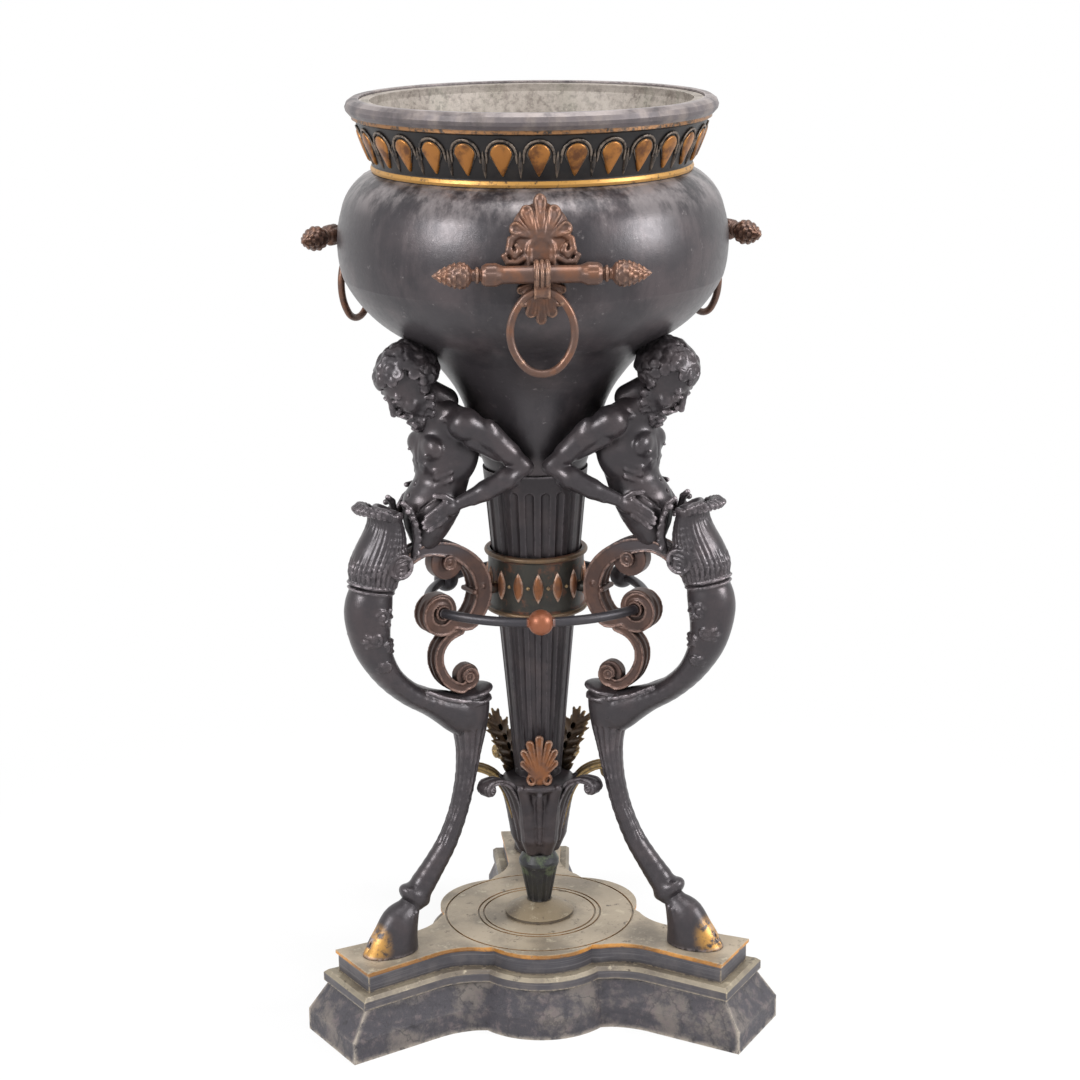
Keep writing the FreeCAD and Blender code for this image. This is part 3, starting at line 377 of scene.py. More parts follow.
    def surface(self) -> Net:
        """Net of quads over the zero level.

        Returns:
            Vertex positions in millimetres and rows of four indices, facing outwards.
        """
        values = self.values
        inside = values < 0.0
        n0, n1, n2 = (count - 1 for count in values.shape)
        offsets = [(i, j, k) for i in (0, 1) for j in (0, 1) for k in (0, 1)]
        total = np.zeros((n0, n1, n2), dtype=np.int8)
        for i, j, k in offsets:
            total += inside[i : i + n0, j : j + n1, k : k + n2]
        cells = np.argwhere((total > 0) & (total < 8))
        number = np.full((n0, n1, n2), -1, dtype=np.int64)
        number[cells[:, 0], cells[:, 1], cells[:, 2]] = np.arange(len(cells))
        position = np.zeros((len(cells), 3))
        crossings = np.zeros(len(cells))
        corner = {o: values[cells[:, 0] + o[0], cells[:, 1] + o[1], cells[:, 2] + o[2]] for o in offsets}
        for o in offsets:
            for axis in range(3):
                if o[axis]:
                    continue
                p = tuple(1 if index == axis else o[index] for index in range(3))
                a, b = corner[o], corner[p]
                crosses = (a < 0.0) != (b < 0.0)
                share = np.where(crosses, a / np.where(crosses, a - b, 1.0), 0.0)
                step = np.array(o, dtype=float)[None, :].repeat(len(cells), axis=0)
                step[:, axis] += share
                position += step * crosses[:, None]
                crossings += crosses
        points = (cells + position / crossings[:, None]) * self.voxel + np.array(self.low)[None, :]
        quads = []
        for axis in range(3):
            u, v = (axis + 1) % 3, (axis + 2) % 3
            lower = [slice(None)] * 3
            upper = [slice(None)] * 3
            lower[axis] = slice(0, -1)
            upper[axis] = slice(1, None)
            change = inside[tuple(lower)].astype(np.int8) - inside[tuple(upper)].astype(np.int8)
            for sign in (1, -1):
                edges = np.argwhere(change == sign)
                limits = np.array([n0, n1, n2])
                good = (edges[:, u] > 0) & (edges[:, v] > 0)
                good &= (edges[:, u] < limits[u]) & (edges[:, v] < limits[v])
                edges = edges[good]
                ring = []
                for du, dv in ((-1, -1), (0, -1), (0, 0), (-1, 0)):
                    cell = edges.copy()
                    cell[:, u] += du
                    cell[:, v] += dv
                    ring.append(number[cell[:, 0], cell[:, 1], cell[:, 2]])
                quad = np.stack(ring if sign == 1 else ring[::-1], axis=1)
                quads.append(quad[(quad >= 0).all(axis=1)])
        return points, np.concatenate(quads)

    def skin(self) -> Net:
        """Net over the zero level, evened out by one round."""
        points, faces = self.surface()
        return relaxed(points, faces, 1), faces


def relaxed(points: Array, faces: Array, rounds: int) -> Array:
    """Even out a net of quads by moving each point towards its neighbours' mean.

    Args:
        points: vertex positions.
        faces: rows of four indices.
        rounds: how often the step is done.

    Returns:
        The smoothed positions.
    """
    pairs = np.concatenate([faces[:, [k, (k + 1) % 4]] for k in range(4)])
    count = np.bincount(pairs[:, 0], minlength=len(points)) + np.bincount(pairs[:, 1], minlength=len(points))
    result = points.astype(float)
    for turn in range(rounds * 2):
        weight = 0.5 if turn % 2 == 0 else -0.52
        mean = np.empty_like(result)
        for axis in range(3):
            mean[:, axis] = np.bincount(pairs[:, 0], result[pairs[:, 1], axis], len(result))
            mean[:, axis] += np.bincount(pairs[:, 1], result[pairs[:, 0], axis], len(result))
        mean /= np.maximum(count, 1)[:, None]
        result += (mean - result) * weight
    return result


# ------------------------------------------------------------------ finishes
NOISE = "ShaderNodeTexNoise"
RANGE = "ShaderNodeMapRange"
MATH = "ShaderNodeMath"
MIX = "ShaderNodeMix"
SMOOTH = {"interpolation_type": "SMOOTHSTEP"}
COLOUR = {"data_type": "RGBA"}
EDGE = {"samples": 4, "inside": True, "only_local": True}


def linear(code: str) -> tuple[float, float, float, float]:
    """Turn an sRGB hex colour into linear light with full alpha."""
    values = [int(code[i : i + 2], 16) / 255.0 for i in (1, 3, 5)]
    flat = [v / 12.92 if v <= 0.04045 else ((v + 0.055) / 1.055) ** 2.4 for v in values]
    return flat[0], flat[1], flat[2], 1.0


def add(
    tree: bpy.types.NodeTree, kind: str, inputs: dict | None = None, **settings: object
) -> bpy.types.Node:
    """Add a node to a tree.

    Args:
        tree: the material's or modifier's node tree.
        kind: the node's type name.
        inputs: for each named or numbered input a value, a socket, or a node whose first live output
            is meant.
        settings: attributes of the node.

    Returns:
        The new node.
    """
    made = tree.nodes.new(kind)
    for name, value in settings.items():
        setattr(made, name, value)
    for key, value in (inputs or {}).items():
        if isinstance(value, bpy.types.Node):
            value = next(socket for socket in value.outputs if socket.enabled)
        if isinstance(value, bpy.types.NodeSocket):
            tree.links.new(value, made.inputs[key])
        else:
            made.inputs[key].default_value = value
    return made


def blank(name: str) -> tuple[bpy.types.Material, NodeMaker]:
    """Start a material.

    Args:
        name: its name.

    Returns:
        The material with an empty tree, and the function that adds to that tree.
    """
    material = bpy.data.materials.new(name)
    material.use_nodes = True
    material.node_tree.nodes.clear()
    return material, partial(add, material.node_tree)


@dataclass(frozen=True)
class Patina:
    """Chemically coloured bronze: dark skin, rubbed edges that are also painted highlights, painted shade in
    the hollows and cloudy patches.
    """

    name: str
    base: str
    cloud: str
    # colour of the rubbed edges: real wear that is also a painted highlight
    rubbed: str
    # colour of the painted shade laid into the hollows
    hollow_shade: str
    metallic: float = 0.45
    roughness: float = 0.42
    cloud_mm: float = 38.0
    cloud_share: float = 0.7
    wear_mm: float = 3.0
    wear_and_highlight: float = 0.8
    grain_mm: float = 1.3
    grain_depth_mm: float = 0.16

    def material(self) -> bpy.types.Material:
        """Build the node material."""
        material, node = blank(self.name)
        spot = node("ShaderNodeTexCoord").outputs["Object"]
        cloud = node(
            NOISE, {"Vector": spot, "Scale": 1000.0 / self.cloud_mm, "Detail": 5.0, "Roughness": 0.62}
        )
        fine = node(NOISE, {"Vector": spot, "Scale": 200.0 / self.grain_mm, "Detail": 4.0, "Roughness": 0.7})
        grain = node(
            NOISE, {"Vector": spot, "Scale": 1000.0 / self.grain_mm, "Detail": 3.0, "Roughness": 0.6}
        )
        patch = node(RANGE, {0: cloud, 1: 0.42, 2: 0.66, 4: self.cloud_share}, **SMOOTH)
        skin = node(MIX, {0: patch, 6: linear(self.base), 7: linear(self.cloud)}, **COLOUR)
        skin = self.extra(node, spot, skin)
        # Painted shade: ambient occlusion darkens the hollows towards the hollow colour; the mask called dust
        # here is that shade, and it also makes the hollows rougher.
        open_sky = node("ShaderNodeAmbientOcclusion", {"Distance": self.wear_mm * 0.0035}, samples=4)
        dust = node(RANGE, {0: open_sky.outputs["AO"], 1: 0.72, 2: 0.2, 4: 0.8}, **SMOOTH)
        skin = node(MIX, {0: dust, 6: skin, 7: linear(self.hollow_shade)}, **COLOUR)
        # Rubbed edges: inside ambient occlusion finds the convex edges and lightens them towards the rubbed
        # colour, partly real wear and partly a painted highlight.
        edge = node("ShaderNodeAmbientOcclusion", {"Distance": self.wear_mm * 0.001}, **EDGE).outputs["AO"]
        sharp = node(RANGE, {0: edge, 1: 0.88, 2: 0.45, 4: self.wear_and_highlight}, **SMOOTH)
        ragged = node(RANGE, {0: fine, 1: 0.34, 2: 0.56}, **SMOOTH)
        rub = node(MATH, {0: sharp, 1: ragged}, operation="MULTIPLY")
        skin = node(MIX, {0: rub, 6: skin, 7: linear(self.rubbed)}, **COLOUR)
        matt = node(MATH, {0: fine, 1: 0.24, 2: self.roughness - 0.12}, operation="MULTIPLY_ADD")
        matt = node(MATH, {0: dust, 1: 0.2, 2: matt}, operation="MULTIPLY_ADD")
        height = node(MATH, {0: fine, 1: 1.6, 2: grain}, operation="MULTIPLY_ADD")
        depth = self.grain_depth_mm * 0.001
        bump = node("ShaderNodeBump", {"Height": height, "Strength": 0.6, "Distance": depth})
        shader = node(
            "ShaderNodeBsdfPrincipled",
            {"Base Color": skin, "Metallic": self.metallic, "Roughness": matt, "Normal": bump},
        )
        node("ShaderNodeOutputMaterial", {"Surface": shader})
        return material

    def extra(self, node: NodeMaker, spot: bpy.types.NodeSocket, skin: bpy.types.Node) -> bpy.types.Node:
        """Add the colour of a special finish.

        Args:
            node: adds a node to the material's tree.
            spot: object coordinates.
            skin: colour so far.

        Returns:
            The node that gives the new colour; the same one here.
        """
        del node, spot
        return skin


@dataclass(frozen=True)
class Zone:
    """Height zone of a finish, in millimetres, with its colour and how patchy it is."""

    low: float
    high: float
    colour: str
    share: float = 1.0
    patchy: float = 0.25
    soft: float = 0.4


@dataclass(frozen=True)
class ZonedPatina(Patina):
    """Patina with bands of another colour between given heights, such as gilt rings."""

    zones: tuple[Zone, ...] = ()
    rag_mm: float = 8.0

    def extra(self, node: NodeMaker, spot: bpy.types.NodeSocket, skin: bpy.types.Node) -> bpy.types.Node:
        """Lay the bands over the skin, as the base class says."""
        metres = node("ShaderNodeSeparateXYZ", {0: spot}).outputs[2]
        height = node(MATH, {0: metres, 1: 1000.0}, operation="MULTIPLY")
        rag = node(NOISE, {"Vector": spot, "Scale": 1000.0 / self.rag_mm, "Detail": 5.0, "Roughness": 0.75})
        for zone in self.zones:
            limits = {0: height, 1: zone.low - zone.soft, 2: zone.low + zone.soft, 4: zone.share}
            above = node(RANGE, limits, **SMOOTH)
            below = node(RANGE, {0: height, 1: zone.high + zone.soft, 2: zone.high - zone.soft}, **SMOOTH)
            worn = node(RANGE, {0: rag, 1: zone.patchy, 2: zone.patchy + 0.16}, **SMOOTH)
            share = node(MATH, {0: above, 1: below}, operation="MULTIPLY")
            share = node(MATH, {0: share, 1: worn}, operation="MULTIPLY")
            skin = node(MIX, {0: share, 6: skin, 7: linear(zone.colour)}, **COLOUR)
        return skin


@dataclass(frozen=True)
class SpotPatina(Patina):
    """Patina with another colour round given points, such as a gilt toe or a copper ball."""

    spots: tuple[Point, ...] = ()
    reach_mm: float = 20.0
    soft_mm: float = 4.0
    colour: str = "#a5612f"
    patchy: float = 0.3
    rag_mm: float = 9.0

    def extra(self, node: NodeMaker, spot: bpy.types.NodeSocket, skin: bpy.types.Node) -> bpy.types.Node:
        """Colour the skin near the points, as the base class says."""
        rag = node(NOISE, {"Vector": spot, "Scale": 1000.0 / self.rag_mm, "Detail": 5.0, "Roughness": 0.72})
        worn = node(RANGE, {0: rag, 1: self.patchy, 2: self.patchy + 0.14}, **SMOOTH)
        for place in self.spots:
            away = node("ShaderNodeVectorMath", {0: spot, 1: place}, operation="DISTANCE").outputs["Value"]
            far, near = (self.reach_mm + self.soft_mm) / 1000.0, (self.reach_mm - self.soft_mm) / 1000.0
            close = node(RANGE, {0: away, 1: far, 2: near}, **SMOOTH)
            share = node(MATH, {0: close, 1: worn}, operation="MULTIPLY")
            skin = node(MIX, {0: share, 6: skin, 7: linear(self.colour)}, **COLOUR)
        return skin


@dataclass(frozen=True)
class DustyPatina(Patina):
    """Patina with dust lying where the surface looks up, and runs of grime below it."""

    dust: str = "#a39b9b"
    grime: str = "#29262a"
    dust_share: float = 0.75

    def extra(self, node: NodeMaker, spot: bpy.types.NodeSocket, skin: bpy.types.Node) -> bpy.types.Node:
        """Add dust and runs, as the base class says."""
        normal = node("ShaderNodeNewGeometry").outputs["Normal"]
        facing = node("ShaderNodeSeparateXYZ", {0: normal}).outputs[2]
        tall = node("ShaderNodeMapping", {0: spot, 3: (26.0, 26.0, 5.0)})
        runs = node(NOISE, {"Vector": tall, "Scale": 1.0, "Detail": 7.0, "Roughness": 0.68})
        speck = node(NOISE, {"Vector": spot, "Scale": 90.0, "Detail": 7.0, "Roughness": 0.75})
        lying = node(RANGE, {0: facing, 1: 0.15, 2: 0.95, 4: self.dust_share}, **SMOOTH)
        rag = node(RANGE, {0: runs, 1: 0.36, 2: 0.62}, **SMOOTH)
        share = node(MATH, {0: lying, 1: rag}, operation="MULTIPLY")
        skin = node(MIX, {0: share, 6: skin, 7: linear(self.dust)}, **COLOUR)
        for mask, start, full, colour in ((runs, 0.52, 0.36, self.grime), (speck, 0.6, 0.76, self.dust)):
            share = node(RANGE, {0: mask, 1: start, 2: full, 4: 0.55}, **SMOOTH)
            skin = node(MIX, {0: share, 6: skin, 7: linear(colour)}, **COLOUR)
        return skin


@dataclass(frozen=True)
class PlateFinish(Patina):
    """Base plate: bare worn top, gilt raised edge and dark brushed faces."""

    top: str = "#aa9c88"
    top_dark: str = "#857a6b"
    top_pale: str = "#d0c4ab"
    top_grime: str = "#352c25"
    brushed: str = "#8a8688"
    gilt: str = "#c8893a"
    gilt_dark: str = "#8a5c26"
    edge_low: float = PLATE_TOP - 6.5

    def extra(self, node: NodeMaker, spot: bpy.types.NodeSocket, skin: bpy.types.Node) -> bpy.types.Node:
        """Paint the top, the edge and the brushed lines, as the base class says."""
        metres = node("ShaderNodeSeparateXYZ", {0: spot}).outputs[2]
        height = node(MATH, {0: metres, 1: 1000.0}, operation="MULTIPLY")
        normal = node("ShaderNodeNewGeometry").outputs["Normal"]
        facing = node("ShaderNodeSeparateXYZ", {0: normal}).outputs[2]
        rag = node(NOISE, {"Vector": spot, "Scale": 60.0, "Detail": 8.0, "Roughness": 0.75})
        wide = node(NOISE, {"Vector": spot, "Scale": 15.0, "Detail": 6.0, "Roughness": 0.62})
        flat = node("ShaderNodeMapping", {0: spot, 3: (8.0, 8.0, 900.0)})
        lines = node(NOISE, {"Vector": flat, "Scale": 1.0, "Detail": 3.0})
        brushed = node(RANGE, {0: lines, 1: 0.52, 2: 0.7, 4: 0.35}, **SMOOTH)
        skin = node(MIX, {0: brushed, 6: skin, 7: linear(self.brushed)}, **COLOUR)
        dull = node(RANGE, {0: wide, 1: 0.44, 2: 0.6}, **SMOOTH)
        bare = node(MIX, {0: dull, 6: linear(self.top), 7: linear(self.top_dark)}, **COLOUR)
        for start, full, most, colour in ((0.54, 0.68, 0.6, self.top_pale), (0.44, 0.32, 0.85, self.top_grime)):
            patch = node(RANGE, {0: rag, 1: start, 2: full, 4: most}, **SMOOTH)
            bare = node(MIX, {0: patch, 6: bare, 7: linear(colour)}, **COLOUR)
        upward = node(RANGE, {0: facing, 1: 0.45, 2: 0.75}, **SMOOTH)
        skin = node(MIX, {0: upward, 6: skin, 7: bare}, **COLOUR)
        high = node(RANGE, {0: height, 1: self.edge_low, 2: self.edge_low + 0.6}, **SMOOTH)
        side = node(RANGE, {0: facing, 1: 0.85, 2: 0.6}, **SMOOTH)
        worn = node(RANGE, {0: rag, 1: 0.32, 2: 0.46}, **SMOOTH)
        share = node(MATH, {0: high, 1: side}, operation="MULTIPLY")
        share = node(MATH, {0: share, 1: worn}, operation="MULTIPLY")
        gold = node(MIX, {0: dull, 6: linear(self.gilt), 7: linear(self.gilt_dark)}, **COLOUR)
        return node(MIX, {0: share, 6: skin, 7: gold}, **COLOUR)


@dataclass(frozen=True)
class Stone:
    """Dark honed stone with beige and pink patches, chipped and worn pale along its edges."""

    name: str = "honed_dark_stone"
    base: str = "#3b383e"
    vein: str = "#6f6761"
    blush: str = "#64595a"
    worn: str = "#b5aa9c"
    pit: str = "#232023"
    crack: str = "#2f2c31"

    def material(self) -> bpy.types.Material:
        """Build the node material."""
        material, node = blank(self.name)
        spot = node("ShaderNodeTexCoord").outputs["Object"]
        big = node(NOISE, {"Vector": spot, "Scale": 17.0, "Detail": 8.0, "Roughness": 0.7})
        small = node(NOISE, {"Vector": spot, "Scale": 70.0, "Detail": 8.0, "Roughness": 0.74})
        push = {0: big.outputs["Color"], 1: (0.05, 0.05, 0.05)}
        warp = node("ShaderNodeVectorMath", push, operation="MULTIPLY")
        bent = node("ShaderNodeVectorMath", {0: spot, 1: warp}, operation="ADD")
        cells = node(
            "ShaderNodeTexVoronoi", {"Vector": bent, "Scale": 26.0}, feature="DISTANCE_TO_EDGE"
        ).outputs["Distance"]
        tone = linear(self.base)
        for mask, start, full, most, colour in (
            (big, 0.47, 0.62, 0.85, self.vein), (small, 0.5, 0.66, 0.75, self.blush),
            (cells, 0.045, 0.0, 0.6, self.crack), (small, 0.44, 0.3, 0.9, self.pit),
        ):
            share = node(RANGE, {0: mask, 1: start, 2: full, 4: most}, **SMOOTH)
            tone = node(MIX, {0: share, 6: tone, 7: linear(colour)}, **COLOUR)
        edge = node("ShaderNodeAmbientOcclusion", {"Distance": 0.006}, **EDGE).outputs["AO"]
        sharp = node(RANGE, {0: edge, 1: 0.92, 2: 0.5, 4: 0.85}, **SMOOTH)
        ragged = node(RANGE, {0: small, 1: 0.36, 2: 0.55}, **SMOOTH)
        rub = node(MATH, {0: sharp, 1: ragged}, operation="MULTIPLY")
        tone = node(MIX, {0: rub, 6: tone, 7: linear(self.worn)}, **COLOUR)
        height = node(MATH, {0: big, 1: 2.0, 2: small}, operation="MULTIPLY_ADD")
        bump = node("ShaderNodeBump", {"Height": height, "Strength": 0.7, "Distance": 0.0016})
        shader = node("ShaderNodeBsdfPrincipled", {"Base Color": tone, "Roughness": 0.55, "Normal": bump})
        node("ShaderNodeOutputMaterial", {"Surface": shader})
        return material


# brown-black patina on cast bronze: soft dark skin that greys where it is rubbed; the grey edges are also a
# painted highlight and the hollows get painted shade
LIMB_PATINA = Patina(
    "brown_black_bronze_patina", "#383437", "#473f41", "#a89ea2", "#141214", metallic=0.45, roughness=0.32,
    wear_mm=4.5
)
# the same patina on the hoofs, with what is left of their gilding on the toes
HOOF_PATINA = SpotPatina(
    "gilt_toed_bronze_patina", "#383437", "#473f41", "#a89ea2", "#141214", metallic=0.45, roughness=0.38,
    wear_mm=4.5,
    spots=tuple(
        (0.222 * math.sin(math.radians(azimuth)), -0.222 * math.cos(math.radians(azimuth)), 0.110)
        for azimuth in LEG_AZIMUTHS
    ),
    reach_mm=20.0, soft_mm=9.0, colour="#b98a45", patchy=0.42, rag_mm=14.0,
)
# near-black patina of the turned and fluted parts: painted shade makes the flutes black, and the ribs are
# rubbed grey, partly as painted highlight
COLUMN_PATINA = Patina(
    "blue_black_bronze_patina", "#342f32", "#463d3e", "#8f888c", "#0d0c0e", metallic=0.4, roughness=0.42
)
# the tie rods, with the front ball rubbed back to copper
ROD_PATINA = SpotPatina(
    "copper_touched_rod_patina", "#353338", "#403c3e", "#857f82", "#151416", metallic=0.45, roughness=0.40,
    spots=((0.0, -0.117, 0.486),), reach_mm=15.5, soft_mm=1.5, colour="#8a5238", patchy=0.22,
)
# dusty grey-brown of the big spun bowl: soft shine, dust on the shoulder
BOWL_PATINA = DustyPatina(
    "dusty_spun_bronze_patina", "#3a3639", "#4d4547", "#a59da0", "#1a181a", metallic=0.4, roughness=0.34,
    cloud_mm=60.0, cloud_share=0.85, wear_mm=4.0,
)
# grey-brown lip, worn by touching: matt with pale rubbed streaks
LIP_PATINA = DustyPatina(
    "grey_rubbed_lip_patina", "#575052", "#746a66", "#b3a9a8", "#2c292b", metallic=0.3, roughness=0.45,
    cloud_mm=24.0, cloud_share=0.9, dust="#9c9390", grime="#3b3739", dust_share=0.6,
)
# copper-brown lacquered bronze of the handle fittings: warm brown with copper patches, and pale rubbed edges
# that are partly painted highlight
COPPER_PATINA = Patina(
    "copper_brown_bronze_patina", "#58433b", "#6f4a36", "#b08a72", "#241916", metallic=0.5, roughness=0.38,
    cloud_mm=18.0, cloud_share=0.8,
)
# brighter copper of the small palmette under the column
COPPER_BRIGHT = Patina(
    "bright_copper_patina", "#80502f", "#5a4036", "#b79f90", "#3a2219", metallic=0.5, roughness=0.42,
    cloud_mm=14.0
)
# orange-brown lacquer of the little niche behind each clip
NICHE_LACQUER = Patina(
    "orange_brown_lacquer", "#86572f", "#6a452c", "#b07c48", "#2e1c14", metallic=0.5, roughness=0.42,
    cloud_mm=9.0
)
# worn gilding over brown bronze: dull gold that thins to brown
GILDING = Patina(
    "worn_gilding", "#9a6530", "#583722", "#c8934a", "#24150e", metallic=0.6, roughness=0.38, cloud_mm=17.0,
    cloud_share=0.95, wear_and_highlight=0.7,
)
# oxidised zinc sheet of the liner: mottled green, brown and pale grey
LINER_ZINC = DustyPatina(
    "oxidised_zinc_sheet", "#7f7770", "#5a5049", "#bdb4aa", "#3c3833", metallic=0.15, roughness=0.55,
    cloud_mm=34.0, cloud_share=1.0, dust="#aaa198", grime="#5a5a4c", dust_share=0.3,
)
# black ground of the frieze and its darts
FRIEZE_BLACK = Patina(
    "black_frieze_patina", "#1f1d1e", "#2c2725", "#7a6c60", "#0a090a", metallic=0.4, roughness=0.40,
    cloud_mm=18.0
)
# gilt rings above and below the black frieze
FRIEZE_ZONED = ZonedPatina(
    "black_frieze_with_gilt_rings", "#1f1d1e", "#2c2725", "#7a6c60", "#0a090a", metallic=0.45,
    roughness=0.38,
    cloud_mm=18.0,
    zones=(
        Zone(NECK_Z - 0.5, NECK_Z + 6.6, "#b98a45", 0.95, 0.30),
        Zone(FRIEZE_TOP_Z + 1.2, FRIEZE_TOP_Z + 7.0, "#8f6339", 0.9, 0.38),
    ),
)
# worn base plate: bare beige top, gilt edge, dark faces
PLATE_FINISH = PlateFinish(
    "worn_gilt_base_plate", "#464449", "#595557", "#b8a78c", "#1c1a1c", metallic=0.25, roughness=0.45,
    cloud_mm=20.0, wear_mm=2.5,
)
# stepped moulding under the plate: dark with a dull bare top
MOULDING_FINISH = PlateFinish(
    "worn_base_moulding", "#4a474b", "#5e5857", "#b8a990", "#1c1a1c", metallic=0.25, roughness=0.48,
    cloud_mm=20.0, wear_mm=2.5, edge_low=500.0, top="#8d8371", top_dark="#655c51",
)
# turned foot disc, worn to the same beige as the plate under it
FOOT_FINISH = PlateFinish(
    "worn_foot_disc", "#5b5248", "#6f6252", "#b3a283", "#231f1b", metallic=0.3, roughness=0.42,
    cloud_mm=14.0, wear_mm=2.0, edge_low=500.0, top="#8c7d66", top_dark="#5f5344",
)
# dull brass of the rolled leaf ends beside the column's cup
BRASS_TINT = Patina(
    "brown_brass_patina", "#6a5a42", "#867048", "#bd9d62", "#221c13", metallic=0.5, roughness=0.40,
    cloud_mm=9.0
)
# scrolls: grey-brown above, copper-brown towards the column
SCROLL_PATINA = ZonedPatina(
    "reddish_brown_scroll_patina", "#4a3833", "#5f4439", "#a5867a", "#171211", metallic=0.4, roughness=0.40,
    cloud_mm=24.0, zones=(Zone(549.0, 600.0, "#443e41", 0.95, 0.0, 9.0),),
)
# bronze-brown of the jagged leaves behind the column
LEAF_BROWN = Patina(
    "bronze_brown_leaf_patina", "#5d4b3b", "#6d5238", "#a58c66", "#1d1713", metallic=0.45, roughness=0.42,
    cloud_mm=12.0,
)
# vase knob: dark bronze with green verdigris that has crept over its shoulder
KNOB_FINISH = ZonedPatina(
    "verdigris_touched_bronze", "#2f2f33", "#3b3b36", "#83807e", "#151517", metallic=0.4, roughness=0.45,
    zones=(Zone(CUP_Z - 26.0, CUP_Z + 1.0, "#56604a", 0.85, 0.46, 3.0),), rag_mm=13.0,
)
# collar: brown-black ground rubbed back to copper in patches and along its rims
COLLAR_FINISH = ZonedPatina(
    "green_black_copper_patina", "#383631", "#2d2b29", "#a5694a", "#151615", metallic=0.45, roughness=0.42,
    cloud_mm=12.0, wear_and_highlight=0.45, wear_mm=1.2,
    zones=(
        Zone(COLLAR_Z - 1.0, COLLAR_TOP + 1.0, "#6a4534", 0.8, 0.5, 1.0),
        Zone(COLLAR_Z - 1.0, COLLAR_Z + 8.0, "#6b4433", 0.8, 0.42, 1.0),
        Zone(COLLAR_TOP - 8.0, COLLAR_TOP + 1.0, "#6b4433", 0.8, 0.42, 1.0),
    ),
    rag_mm=26.0,
)


def dress(node: bpy.types.Object, material: bpy.types.Material) -> None:
    """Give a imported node's object one material in every slot."""
    if not node.data.materials:
        node.data.materials.append(material)
    for index in range(len(node.data.materials)):
        node.data.materials[index] = material


